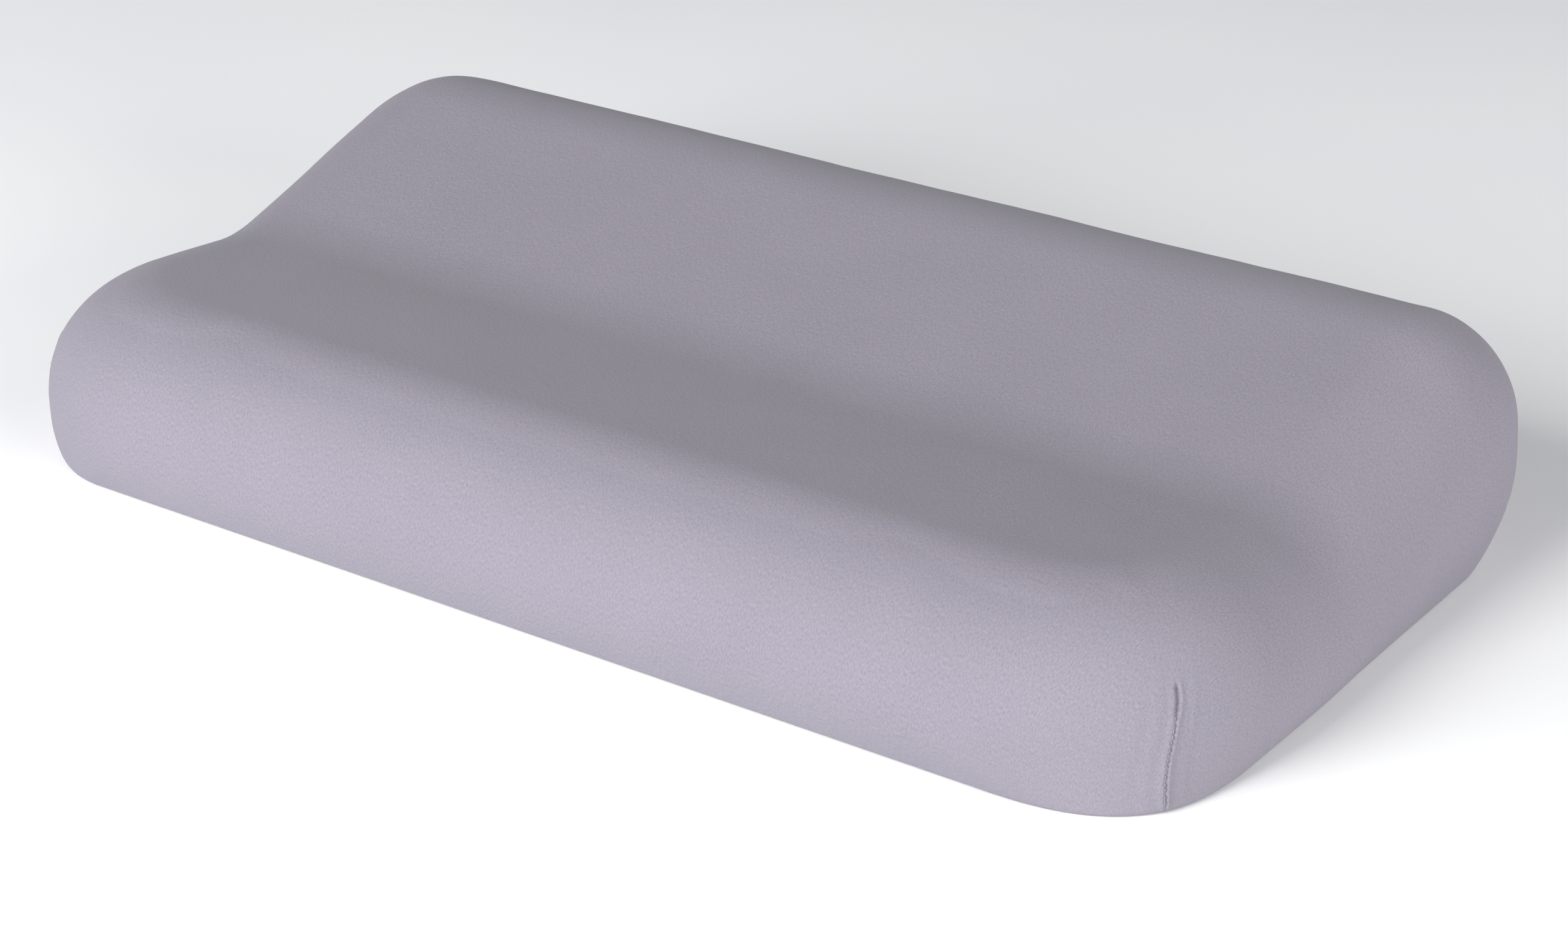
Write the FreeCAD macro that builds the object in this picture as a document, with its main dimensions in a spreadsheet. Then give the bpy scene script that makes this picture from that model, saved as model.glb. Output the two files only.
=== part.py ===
import FreeCAD, Part
import Sketcher
import math
import os

# Contoured memory-foam neck support: a one-piece foam core with a low front lobe, a valley
# for the head and a high rear lobe, inside a thin liner and a removable knit cover.  The
# cover has a sewn dart at each corner and a coil zip along its rear wall.
#
# Frame: +X along the length, +Y from the low front lobe to the high rear lobe, +Z up,
# origin at the centre of the base, on the floor.  Millimetres.

DIMENSIONS = {
    # Overall form
    "overall_length": 600.0,
    "overall_depth": 350.0,
    "widest_height": 38.0,
    "drum_height": 130.0,
    "front_corner": 96.0,
    "front_corner_at_base": 74.0,
    "rear_corner": 83.0,
    "rear_corner_at_base": 68.0,
    # The walls bulge: arcs in a vertical plane below and above the widest height
    "side_arc_below": 73.0,
    "side_arc_above": 232.0,
    "end_arc_below": 67.0,
    "end_arc_above": 216.0,
    "rim_radius": 40.0,
    # Wave of the top, in the YZ plane
    "front_slope": 4.0,
    "valley_y": -11.0,
    "valley_height": 67.0,
    "valley_radius": 91.5,
    "crest_y": 105.5,
    "crest_height": 102.5,
    "crest_radius": 73.5,
    "rear_slope": 34.0,
    "wave_overrun": 40.0,
    # Layers, from the outside in
    "cover_thickness": 1.2,
    "layer_gap": 0.3,
    "liner_thickness": 0.6,
    "zip_room": 3.0,
    # Window for the zip in the rear wall, and the sewn-in strip below it
    "window_length": 406.0,
    "window_height": 12.0,
    "strip_gap": 0.4,
    # Coil zip: its centre line is on the rear wall at the widest height
    "tape_length": 410.0,
    "tape_width": 13.0,
    "tape_thickness": 0.75,
    "tape_parting": 2.4,
    "chain_length": 375.0,
    "coil_parting": 1.8,
    "coil_width": 2.2,
    "coil_depth": 2.3,
    "coil_round": 0.7,
    "coil_gap": 0.1,
    "stop_length": 2.2,
    "stop_gap": 0.7,
    "stop_depth": 2.1,
    "stop_back": 0.6,
    "stop_parting": 0.4,
    "stop_web_gap": 0.3,
    # Slider: two plates joined by a neck at the end that meets the open tapes
    "slider_home": 182.0,
    "slider_length": 9.4,
    "slider_width": 8.4,
    "channel_width": 6.7,
    "plate_thickness": 1.2,
    "plate_gap": 0.2,
    "back_plate_gap": 0.3,
    "neck_length": 2.4,
    "neck_setback": 0.6,
    "neck_width": 1.4,
    "slider_corner": 0.7,
    "bail_length": 6.4,
    "bail_leg": 1.0,
    "bail_width": 1.4,
    "bail_height": 2.75,
    "bail_opening": 1.9,
    # Pull tab: its bar turns under the bail
    "pull_length": 26.0,
    "pull_width": 6.4,
    "pull_thickness": 1.1,
    "pull_bar": 1.3,
    "pull_far_corner": 2.4,
    "pull_near_corner": 1.0,
    "eye_length": 3.95,
    "eye_width": 2.3,
    # Sewing threads and the blank care label, which stand a little proud of the cover
    "thread_lift": 0.15,
    "thread_rise": 0.3,
    "thread_width": 0.6,
    "zip_seam_offset": 7.6,
    "dart_bottom": 4.0,
    "dart_top": 50.0,
    "dart_angle": 38.0,
    "label_x": -150.0,
    "label_length": 30.0,
    "label_bottom": 6.0,
    "label_top": 22.0,
    "label_thickness": 0.4,
}

SECTION_COUNT = 8
PARTS_FOLDER = "parts"

# Tests that pick out edges and faces: how close a point must be, how nearly parallel a line,
# how much of the length a face of the top runs, and how far above the base it starts
MATCH = 0.01
PARALLEL = 0.999
FULL_RUN = 0.6
TOP_CLEARANCE = 5.0

# Kinds of pad and pocket
BY_LENGTH = 0
THROUGH_ALL = 1

# Sketcher's numbers for a curve's start, end and centre, and for a sketch's own axes
START = 1
END = 2
CENTRE = 3
X_AXIS = -1
Y_AXIS = -2

doc = FreeCAD.newDocument("contoured_neck_support")


def make_sheet():
    """Put every driving dimension in a spreadsheet cell under its own alias."""
    sheet = doc.addObject("Spreadsheet::Sheet", "Dimensions")
    for row, (alias, size) in enumerate(DIMENSIONS.items(), start=1):
        sheet.set("A%d" % row, alias)
        sheet.set("B%d" % row, "%g" % size)
        sheet.setAlias("B%d" % row, alias)
    doc.recompute()
    return sheet


sheet = make_sheet()


def size(alias):
    """Expression text for one cell."""
    return "Dimensions." + alias


def half(alias):
    """Expression text for half of one cell."""
    return "(Dimensions.%s / 2)" % alias


def value(expression):
    """Number that an expression has now, used to start a sketch near its solution."""
    return float(sheet.evalExpression(str(expression)))


def bind(sketch, constraint, name, expression):
    """Add a dimension to a sketch, give it a name and drive it from the sheet."""
    index = sketch.addConstraint(constraint)
    sketch.renameConstraint(index, name)
    sketch.setExpression("Constraints." + name, str(expression))


def bind_length(feature, name, expression):
    """Drive a length property of a feature from the sheet."""
    feature.setExpression(name, "(%s) * 1mm" % expression)


def origin_plane(body, role):
    for feature in body.Origin.OriginFeatures:
        if feature.Role == role:
            return feature
    raise ValueError("no origin plane " + role)


def new_body(name):
    body = doc.addObject("PartDesign::Body", name)
    body.Label = name
    return body


def new_sketch(body, name, plane, offset="0"):
    """Sketch on one of the body's own origin planes, moved along the plane's normal."""
    sketch = body.newObject("Sketcher::SketchObject", name)
    sketch.AttachmentSupport = [(origin_plane(body, plane), "")]
    sketch.MapMode = "FlatFace"
    sketch.setExpression(".AttachmentOffset.Base.z", "(%s) * 1mm" % offset)
    return sketch


def add_line(sketch, start, end):
    line = Part.LineSegment(FreeCAD.Vector(start[0], start[1], 0), FreeCAD.Vector(end[0], end[1], 0))
    return sketch.addGeometry(line, False)


def add_arc(sketch, centre, radius, start_deg, end_deg):
    circle = Part.Circle(FreeCAD.Vector(centre[0], centre[1], 0), FreeCAD.Vector(0, 0, 1), radius)
    arc = Part.ArcOfCircle(circle, math.radians(start_deg), math.radians(end_deg))
    return sketch.addGeometry(arc, False)


def join(sketch, kind, first, first_end, second, second_end):
    sketch.addConstraint(Sketcher.Constraint(kind, first, first_end, second, second_end))


def wall_inset(height, below, above):
    """How far a bulging wall stands in from its widest line at a height (expression text)."""
    drop = "(%s - Dimensions.widest_height)" % height
    low = "%s - sqrt(%s^2 - %s^2)" % (size(below), size(below), drop)
    high = "%s - sqrt(%s^2 - %s^2)" % (size(above), size(above), drop)
    return "(%s < 0 ? %s : %s)" % (drop, low, high)


def corner_at(height, corner):
    """Plan corner radius at a height: it tightens towards the base (expression text)."""
    share = "(1 - %s / Dimensions.widest_height)" % height
    tightening = "(%s - %s_at_base) * %s^2" % (size(corner), size(corner), share)
    return "(%s > 0 ? %s - %s : %s)" % (share, size(corner), tightening, size(corner))


def plan_sketch(body, name, offset, rear_room, step):
    """Rounded plan outline of the bulging drum at one of its evenly spaced heights."""
    rise = "(Dimensions.drum_height - %s) * %d / %d" % (offset, step, SECTION_COUNT - 1)
    height = "(%s + %s)" % (offset, rise)
    side = "(%s + %s)" % (wall_inset(height, "side_arc_below", "side_arc_above"), offset)
    end = "(%s + %s)" % (wall_inset(height, "end_arc_below", "end_arc_above"), offset)
    half_length = "(%s - %s)" % (half("overall_length"), end)
    front = "(%s - %s)" % (half("overall_depth"), side)
    rear = "(%s - %s - %s)" % (half("overall_depth"), side, rear_room)
    front_radius = "(%s - (%s + %s) / 2)" % (corner_at(height, "front_corner"), side, end)
    rear_radius = "(%s - (%s + %s) / 2)" % (corner_at(height, "rear_corner"), side, end)

    sketch = new_sketch(body, "%s_%d" % (name, step), "XY_Plane", height)
    draw_rounded_outline(sketch, half_length, front, rear, front_radius, rear_radius)
    return sketch


def draw_rounded_outline(sketch, half_length, front, rear, front_radius, rear_radius):
    """Outline about the Y axis with two front and two rear corner arcs, drawn anticlockwise."""
    x = value(half_length)
    low = -value(front)
    high = value(rear)
    rf = value(front_radius)
    rr = value(rear_radius)
    front_line = add_line(sketch, (-x + rf, low), (x - rf, low))
    arc_one = add_arc(sketch, (x - rf, low + rf), rf, -90, 0)
    right_line = add_line(sketch, (x, low + rf), (x, high - rr))
    arc_two = add_arc(sketch, (x - rr, high - rr), rr, 0, 90)
    rear_line = add_line(sketch, (x - rr, high), (-x + rr, high))
    arc_three = add_arc(sketch, (-x + rr, high - rr), rr, 90, 180)
    left_line = add_line(sketch, (-x, high - rr), (-x, low + rf))
    arc_four = add_arc(sketch, (-x + rf, low + rf), rf, 180, 270)
    chain = [front_line, arc_one, right_line, arc_two, rear_line, arc_three, left_line, arc_four]
    for first, second in zip(chain, chain[1:] + chain[:1]):
        join(sketch, "Tangent", first, END, second, START)
    sketch.addConstraint(Sketcher.Constraint("Horizontal", rear_line))
    sketch.addConstraint(Sketcher.Constraint("Vertical", right_line))
    sketch.addConstraint(Sketcher.Constraint("Vertical", left_line))
    sketch.addConstraint(Sketcher.Constraint("Symmetric", front_line, START, front_line, END, Y_AXIS))
    sketch.addConstraint(Sketcher.Constraint("Equal", arc_one, arc_four))
    sketch.addConstraint(Sketcher.Constraint("Equal", arc_two, arc_three))
    bind(sketch, Sketcher.Constraint("Radius", arc_one, rf), "front_corner_r", front_radius)
    bind(sketch, Sketcher.Constraint("Radius", arc_two, rr), "rear_corner_r", rear_radius)
    width = Sketcher.Constraint("DistanceX", left_line, START, right_line, START, 2 * x)
    bind(sketch, width, "outline_length", "2 * " + half_length)
    front_distance = Sketcher.Constraint("DistanceY", front_line, START, X_AXIS, START, -low)
    bind(sketch, front_distance, "front_depth", front)
    rear_distance = Sketcher.Constraint("DistanceY", X_AXIS, START, rear_line, START, high)
    bind(sketch, rear_distance, "rear_depth", rear)


def add_drum(body, name, offset, rear_room):
    """Loft of plan outlines: the bulging walls, before the top is cut to shape."""
    outlines = []
    for step in range(SECTION_COUNT):
        outlines.append(plan_sketch(body, name + "_plan", offset, rear_room, step))
    loft = body.newObject("PartDesign::AdditiveLoft", name + "_walls")
    loft.Profile = outlines[0]
    loft.Sections = outlines[1:]
    loft.Ruled = False
    return loft


def outer_tangent(crest, crest_radius, valley, valley_radius):
    """Points where the slope between a crest arc and a valley arc touches each of them."""
    across = crest[0] - valley[0]
    up = crest[1] - valley[1]
    reach = math.hypot(across, up)
    spread = math.acos((crest_radius + valley_radius) / reach)
    back = math.atan2(-up, -across)
    angle = max((back + spread, back - spread), key=math.sin)
    normal = (math.cos(angle), math.sin(angle))
    on_crest = (crest[0] + crest_radius * normal[0], crest[1] + crest_radius * normal[1])
    on_valley = (valley[0] - valley_radius * normal[0], valley[1] - valley_radius * normal[1])
    return on_crest, on_valley


def angle_of(centre, point):
    return math.degrees(math.atan2(point[1] - centre[1], point[0] - centre[0]))


def wave_sketch(body, name, offset):
    """Everything above the wave of the top: front slope, valley, rise, crest and rear slope."""
    valley_r = "(Dimensions.valley_radius + %s)" % offset
    crest_r = "(Dimensions.crest_radius - %s)" % offset
    valley_z = "(Dimensions.valley_height + Dimensions.valley_radius)"
    crest_z = "(Dimensions.crest_height - Dimensions.crest_radius)"
    edge_y = "(%s + Dimensions.wave_overrun)" % half("overall_depth")
    top_z = "(Dimensions.drum_height + Dimensions.wave_overrun)"

    valley = (value(size("valley_y")), value(valley_z))
    crest = (value(size("crest_y")), value(crest_z))
    on_crest, on_valley = outer_tangent(crest, value(crest_r), valley, value(valley_r))
    front_angle = value(size("front_slope"))
    rear_angle = value(size("rear_slope"))
    edge = value(edge_y)
    top = value(top_z)

    sketch = new_sketch(body, name, "YZ_Plane")
    valley_end = 360 + angle_of(valley, on_valley)
    valley_arc = add_arc(sketch, valley, value(valley_r), 270 - front_angle, valley_end)
    crest_arc = add_arc(sketch, crest, value(crest_r), 90 - rear_angle, angle_of(crest, on_crest))
    valley_start = sketch.getPoint(valley_arc, START)
    crest_start = sketch.getPoint(crest_arc, START)
    front_z = valley_start.y + (valley_start.x + edge) * math.tan(math.radians(front_angle))
    rear_z = crest_start.y - (edge - crest_start.x) * math.tan(math.radians(rear_angle))
    front_line = add_line(sketch, (-edge, front_z), (valley_start.x, valley_start.y))
    rise_line = add_line(sketch, on_valley, on_crest)
    rear_line = add_line(sketch, (crest_start.x, crest_start.y), (edge, rear_z))
    rear_side = add_line(sketch, (edge, rear_z), (edge, top))
    lid = add_line(sketch, (edge, top), (-edge, top))
    front_side = add_line(sketch, (-edge, top), (-edge, front_z))

    join(sketch, "Tangent", front_line, END, valley_arc, START)
    join(sketch, "Tangent", valley_arc, END, rise_line, START)
    join(sketch, "Tangent", rise_line, END, crest_arc, END)
    join(sketch, "Tangent", crest_arc, START, rear_line, START)
    join(sketch, "Coincident", rear_line, END, rear_side, START)
    join(sketch, "Coincident", rear_side, END, lid, START)
    join(sketch, "Coincident", lid, END, front_side, START)
    join(sketch, "Coincident", front_side, END, front_line, START)
    sketch.addConstraint(Sketcher.Constraint("Vertical", rear_side))
    sketch.addConstraint(Sketcher.Constraint("Vertical", front_side))
    sketch.addConstraint(Sketcher.Constraint("Horizontal", lid))
    bind_point(sketch, valley_arc, valley, "valley", size("valley_y"), valley_z)
    bind_point(sketch, crest_arc, crest, "crest", size("crest_y"), crest_z)
    bind(sketch, Sketcher.Constraint("Radius", valley_arc, value(valley_r)), "valley_r", valley_r)
    bind(sketch, Sketcher.Constraint("Radius", crest_arc, value(crest_r)), "crest_r", crest_r)
    bind(sketch, Sketcher.Constraint("DistanceX", X_AXIS, START, lid, START, edge), "rear_edge", edge_y)
    bind(sketch, Sketcher.Constraint("DistanceX", lid, END, X_AXIS, START, edge), "front_edge", edge_y)
    bind(sketch, Sketcher.Constraint("DistanceY", X_AXIS, START, lid, START, top), "lid_height", top_z)
    front_fall = Sketcher.Constraint("Angle", front_line, math.radians(-front_angle))
    bind(sketch, front_fall, "front_fall", "-Dimensions.front_slope * 1deg")
    rear_fall = Sketcher.Constraint("Angle", rear_line, math.radians(-rear_angle))
    bind(sketch, rear_fall, "rear_fall", "-Dimensions.rear_slope * 1deg")
    return sketch


def bind_point(sketch, arc, centre, name, across, up):
    """Drive the centre of an arc from the sheet."""
    x_place = Sketcher.Constraint("DistanceX", X_AXIS, START, arc, CENTRE, centre[0])
    bind(sketch, x_place, name + "_across", across)
    z_place = Sketcher.Constraint("DistanceY", X_AXIS, START, arc, CENTRE, centre[1])
    bind(sketch, z_place, name + "_up", up)


def wave_faces(shape, floor):
    """The plane and cylinder faces that run the length of the top."""
    faces = []
    for face in shape.Faces:
        runs_full_length = face.BoundBox.XLength > FULL_RUN * DIMENSIONS["overall_length"]
        is_top = face.BoundBox.ZMin > floor
        if runs_full_length and is_top and "BSpline" not in face.Surface.TypeId:
            faces.append(face)
    return faces


def rim_edges(shape, floor):
    """Names of the edges between the walls and the wave of the top."""
    faces = wave_faces(shape, floor)
    names = []
    for number, edge in enumerate(shape.Edges, start=1):
        touching = sum(1 for face in faces if any(edge.isSame(other) for other in face.Edges))
        if touching == 1:
            names.append("Edge%d" % number)
    return names


def envelope(name, offset, rear_room="0"):
    """Closed contoured form that lies a given distance inside the outer surface of the cover."""
    body = new_body(name)
    add_drum(body, name, offset, rear_room)
    pocket = body.newObject("PartDesign::Pocket", name + "_wave")
    pocket.Profile = wave_sketch(body, name + "_profile", offset)
    pocket.Type = THROUGH_ALL
    pocket.Midplane = True
    doc.recompute()
    rim = body.newObject("PartDesign::Fillet", name + "_rim")
    rim.Base = (pocket, rim_edges(pocket.Shape, value(offset) + TOP_CLEARANCE))
    bind_length(rim, "Radius", "Dimensions.rim_radius - " + offset)
    doc.recompute()
    return body


def box(name, x_range, y_range, z_range):
    """Part::Box between pairs of expressions."""
    solid = doc.addObject("Part::Box", name)
    sides = (("Length", "x", x_range), ("Width", "y", y_range), ("Height", "z", z_range))
    for side, axis, (low, high) in sides:
        bind_length(solid, side, "(%s) - (%s)" % (high, low))
        bind_length(solid, ".Placement.Base." + axis, low)
    return solid


def boolean(kind, name, base, tool):
    result = doc.addObject("Part::" + kind, name)
    result.Label = name
    result.Base = base
    result.Tool = tool
    return result


def fused(name, shapes):
    result = doc.addObject("Part::MultiFuse", name)
    result.Shapes = shapes
    return result


def grouped(name, shapes):
    """Separate solids under one node."""
    result = doc.addObject("Part::Compound", name)
    result.Label = name
    result.Links = shapes
    return result


# Places that many pieces share, as expression text
REAR = half("overall_depth")
REAR_HALF = "(Dimensions.overall_depth / 4)"
LEVEL = size("widest_height")
LINER_OFFSET = "(Dimensions.cover_thickness + Dimensions.layer_gap)"
LINER_INSIDE = "(%s + Dimensions.liner_thickness)" % LINER_OFFSET
FOAM_OFFSET = "(%s + Dimensions.layer_gap)" % LINER_INSIDE
TAPE_FACE = "(%s - Dimensions.cover_thickness - Dimensions.layer_gap)" % REAR
TAPE_BACK = "(%s - Dimensions.tape_thickness)" % TAPE_FACE
COIL_ROOT = "(%s + Dimensions.coil_gap)" % TAPE_FACE
COIL_FACE = "(%s + Dimensions.coil_depth)" % COIL_ROOT
COIL_EDGE = "(Dimensions.coil_parting / 2 + Dimensions.coil_width)"
CHAIN_END = "(Dimensions.chain_length / 2)"
PLATE_INSIDE = "(%s + Dimensions.plate_gap)" % COIL_FACE
PLATE_FACE = "(%s + Dimensions.plate_thickness)" % PLATE_INSIDE
BACK_PLATE_INSIDE = "(%s - Dimensions.back_plate_gap)" % TAPE_BACK
BACK_PLATE_FACE = "(%s - Dimensions.plate_thickness)" % BACK_PLATE_INSIDE
PULL_AXIS_Y = "(%s + Dimensions.bail_opening / 2)" % PLATE_FACE
HOME = size("slider_home")
FAR = "(Dimensions.overall_length + Dimensions.overall_depth)"
WINDOW = (
    "-Dimensions.window_length / 2",
    "Dimensions.window_length / 2",
)
WINDOW_TOP = "(Dimensions.widest_height + Dimensions.window_height / 2)"
WINDOW_SILL = "(Dimensions.widest_height - Dimensions.window_height / 2)"


def around(centre, width):
    """Range of a given width about a centre."""
    return ("%s - (%s) / 2" % (centre, width), "%s + (%s) / 2" % (centre, width))


def add_rectangle(sketch, tag, across, up):
    """Rectangle between two pairs of expressions, each side driven from the sheet."""
    left, right = value(across[0]), value(across[1])
    low, high = value(up[0]), value(up[1])
    corners = [(left, low), (right, low), (right, high), (left, high)]
    sides = [add_line(sketch, corners[n], corners[(n + 1) % 4]) for n in range(4)]
    for first, second in zip(sides, sides[1:] + sides[:1]):
        join(sketch, "Coincident", first, END, second, START)
    for side, direction in zip(sides, ("Horizontal", "Vertical", "Horizontal", "Vertical")):
        sketch.addConstraint(Sketcher.Constraint(direction, side))
    start_x = Sketcher.Constraint("DistanceX", X_AXIS, START, sides[0], START, left)
    bind(sketch, start_x, tag + "_left", across[0])
    start_y = Sketcher.Constraint("DistanceY", X_AXIS, START, sides[0], START, low)
    bind(sketch, start_y, tag + "_low", up[0])
    wide = Sketcher.Constraint("DistanceX", sides[0], START, sides[0], END, right - left)
    bind(sketch, wide, tag + "_width", "(%s) - (%s)" % (across[1], across[0]))
    tall = Sketcher.Constraint("DistanceY", sides[1], START, sides[1], END, high - low)
    bind(sketch, tall, tag + "_height", "(%s) - (%s)" % (up[1], up[0]))


def add_slab(body, name, plane, offset, across, up, thickness, cut=False):
    """Pad or pocket of a rectangle, to both sides of its plane."""
    sketch = new_sketch(body, name + "_outline", plane, offset)
    add_rectangle(sketch, name, across, up)
    kind = "PartDesign::Pocket" if cut else "PartDesign::Pad"
    slab = body.newObject(kind, name)
    slab.Profile = sketch
    slab.Type = BY_LENGTH
    slab.Midplane = True
    bind_length(slab, "Length", thickness)
    doc.recompute()
    return slab


def edges_along(shape, direction, accept):
    """Names of the straight edges along a direction whose middle point is accepted."""
    names = []
    for number, edge in enumerate(shape.Edges, start=1):
        if edge.Curve.TypeId != "Part::GeomLine":
            continue
        parallel = abs(edge.tangentAt(edge.FirstParameter).dot(direction)) > PARALLEL
        if parallel and accept(edge.CenterOfMass):
            names.append("Edge%d" % number)
    return names


def add_fillet(body, name, base, edges, radius):
    fillet = body.newObject("PartDesign::Fillet", name)
    fillet.Base = (base, edges)
    bind_length(fillet, "Radius", radius)
    doc.recompute()
    return fillet


def wall_cylinder(name, arc, offset):
    """Round bar about the axis of the rear wall's upper or lower arc, an offset inside it."""
    bar = doc.addObject("Part::Cylinder", name)
    bar.Placement = FreeCAD.Placement(FreeCAD.Vector(), FreeCAD.Rotation(FreeCAD.Vector(0, 1, 0), 90))
    bind_length(bar, "Radius", "%s - (%s)" % (size(arc), offset))
    bind_length(bar, "Height", size("overall_length"))
    bind_length(bar, ".Placement.Base.x", "-" + half("overall_length"))
    bind_length(bar, ".Placement.Base.y", "%s - %s" % (REAR, size(arc)))
    bind_length(bar, ".Placement.Base.z", LEVEL)
    return bar


def wall_band(name, arc, outside, inside, x_range, z_range):
    """Thin piece that follows the rear wall, between two offsets from the cover's surface."""
    outer = wall_cylinder(name + "_outer", arc, outside)
    inner = wall_cylinder(name + "_inner", arc, inside)
    skin = boolean("Cut", name + "_skin", outer, inner)
    region = box(name + "_region", x_range, (REAR_HALF, FAR), z_range)
    return boolean("Common", name, skin, region)


def make_cover(outer):
    """Knit cover: one panel over the top and walls, a base panel and the strip below the zip."""
    inside = envelope("cover_inside", size("cover_thickness"))
    shell = boolean("Cut", "cover_shell", outer, inside)
    floor_z = ("0", size("cover_thickness"))
    floor_zone = box("cover_floor_zone", ("-" + FAR, FAR), ("-" + FAR, FAR), floor_z)
    rear_zone = box("cover_rear_zone", WINDOW, (REAR_HALF, FAR), ("0", WINDOW_TOP))
    strip_x = ("%s + Dimensions.strip_gap" % WINDOW[0], "%s - Dimensions.strip_gap" % WINDOW[1])
    strip_z = (size("cover_thickness"), WINDOW_SILL)
    strip_zone = box("cover_strip_zone", strip_x, (REAR_HALF, FAR), strip_z)
    removed = fused("cover_removed", [floor_zone, rear_zone])
    return [
        boolean("Cut", "cover_top", shell, removed),
        boolean("Common", "cover_base", shell, floor_zone),
        boolean("Common", "cover_rear_strip", shell, strip_zone),
    ]


def make_liner():
    """Thin inner sock that stays on the foam, with a seam round its base."""
    outside = envelope("liner_outside", LINER_OFFSET, size("zip_room"))
    inside = envelope("liner_inside", LINER_INSIDE, size("zip_room"))
    shell = boolean("Cut", "liner_shell", outside, inside)
    floor_zone = box("liner_floor_zone", ("-" + FAR, FAR), ("-" + FAR, FAR), ("0", LINER_INSIDE))
    return [
        boolean("Cut", "liner_top", shell, floor_zone),
        boolean("Common", "liner_base", shell, floor_zone),
    ]


def make_tapes():
    """Woven zip tapes, sewn behind the two long edges of the window."""
    outside = "%s - %s" % (REAR, TAPE_FACE)
    inside = "%s - %s" % (REAR, TAPE_BACK)
    x_range = around("0", size("tape_length"))
    near = "Dimensions.tape_parting / 2"
    far = "%s + Dimensions.tape_width" % near
    upper_z = ("%s + %s" % (LEVEL, near), "%s + %s" % (LEVEL, far))
    lower_z = ("%s - (%s)" % (LEVEL, far), "%s - %s" % (LEVEL, near))
    return [
        wall_band("zip_tape_upper", "side_arc_above", outside, inside, x_range, upper_z),
        wall_band("zip_tape_lower", "side_arc_below", outside, inside, x_range, lower_z),
    ]


def make_coil(name, side):
    """One half of the coil chain, as a rounded strip on the edge of its tape."""
    body = new_body(name)
    middle = "%s %s (Dimensions.coil_parting + Dimensions.coil_width) / 2" % (LEVEL, side)
    strip = add_slab(
        body,
        name + "_strip",
        "YZ_Plane",
        "0",
        (COIL_ROOT, COIL_FACE),
        around(middle, size("coil_width")),
        size("chain_length"),
    )
    face = value(COIL_FACE)

    def is_on_face(point):
        return abs(point.y - face) < MATCH

    edges = edges_along(strip.Shape, FreeCAD.Vector(1, 0, 0), is_on_face)
    add_fillet(body, name + "_round", strip, edges, size("coil_round"))
    return body


def make_clip(name, x_range, z_range, web_range):
    """Metal clip that grips the chain from both faces through the gap between the tapes."""
    stop_face = "%s + Dimensions.stop_depth" % COIL_ROOT
    back_inside = "%s - Dimensions.plate_gap" % TAPE_BACK
    back_face = "%s - Dimensions.stop_back" % back_inside
    pieces = [
        box(name + "_front", x_range, (COIL_ROOT, stop_face), z_range),
        box(name + "_web", x_range, (back_face, stop_face), web_range),
        box(name + "_back", x_range, (back_face, back_inside), z_range),
    ]
    return fused(name, pieces)


def make_stops():
    """One clip across both tapes at the start of the chain, and one on each tape at its end."""
    near = "(%s + Dimensions.stop_gap)" % CHAIN_END
    far = "(%s + Dimensions.stop_length)" % near
    web = "(Dimensions.tape_parting / 2 - Dimensions.stop_web_gap)"
    parting = "Dimensions.stop_parting / 2"
    bottom_z = ("%s - %s" % (LEVEL, COIL_EDGE), "%s + %s" % (LEVEL, COIL_EDGE))
    bottom_web = ("%s - %s" % (LEVEL, web), "%s + %s" % (LEVEL, web))
    bottom = make_clip("zip_bottom_stop", ("-" + far, "-" + near), bottom_z, bottom_web)
    bottom.Label = "zip_bottom_stop"
    clips = []
    for name, side in (("upper_clip", "+"), ("lower_clip", "-")):
        start = "%s %s %s" % (LEVEL, side, parting)
        reach = "%s %s %s" % (LEVEL, side, COIL_EDGE)
        web_reach = "%s %s %s" % (LEVEL, side, web)
        ranges = [(start, reach), (start, web_reach)]
        if side == "-":
            ranges = [(high, low) for low, high in ranges]
        clips.append(make_clip(name, (near, far), ranges[0], ranges[1]))
    return [bottom, grouped("zip_top_stops", clips)]


def make_slider():
    """Zip slider: neck first, then its two plates, side flanges and bail."""
    body = new_body("zip_slider")
    length = around(HOME, size("slider_length"))
    neck_end = "%s - Dimensions.neck_setback" % length[1]
    neck_start = "%s - Dimensions.neck_length" % neck_end
    flange_low = "%s + Dimensions.plate_gap" % TAPE_FACE
    neck_x = (neck_start, neck_end)
    neck_y = (BACK_PLATE_FACE, PLATE_FACE)
    front_y = (PLATE_INSIDE, PLATE_FACE)
    back_y = (BACK_PLATE_FACE, BACK_PLATE_INSIDE)
    width = size("slider_width")
    add_slab(body, "neck", "XY_Plane", LEVEL, neck_x, neck_y, size("neck_width"))
    add_slab(body, "front_plate", "XY_Plane", LEVEL, length, front_y, width)
    add_slab(body, "back_plate", "XY_Plane", LEVEL, length, back_y, width)
    flange_thickness = "(Dimensions.slider_width - Dimensions.channel_width) / 2"
    flange_middle = "(Dimensions.slider_width + Dimensions.channel_width) / 4"
    for name, side in (("upper_flange", "+"), ("lower_flange", "-")):
        rows = around("%s %s %s" % (LEVEL, side, flange_middle), flange_thickness)
        add_slab(body, name, "YZ_Plane", HOME, (flange_low, PLATE_FACE), rows, size("slider_length"))
    arch = add_bail(body)
    home = value(HOME)
    level = value(LEVEL)
    reach_x = value("Dimensions.slider_length / 2")
    reach_z = value("Dimensions.slider_width / 2")

    def is_outer_corner(point):
        at_end = abs(abs(point.x - home) - reach_x) < MATCH
        at_side = abs(abs(point.z - level) - reach_z) < MATCH
        return at_end and at_side

    edges = edges_along(arch.Shape, FreeCAD.Vector(0, 1, 0), is_outer_corner)
    add_fillet(body, "slider_corners", arch, edges, size("slider_corner"))
    return body


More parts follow.
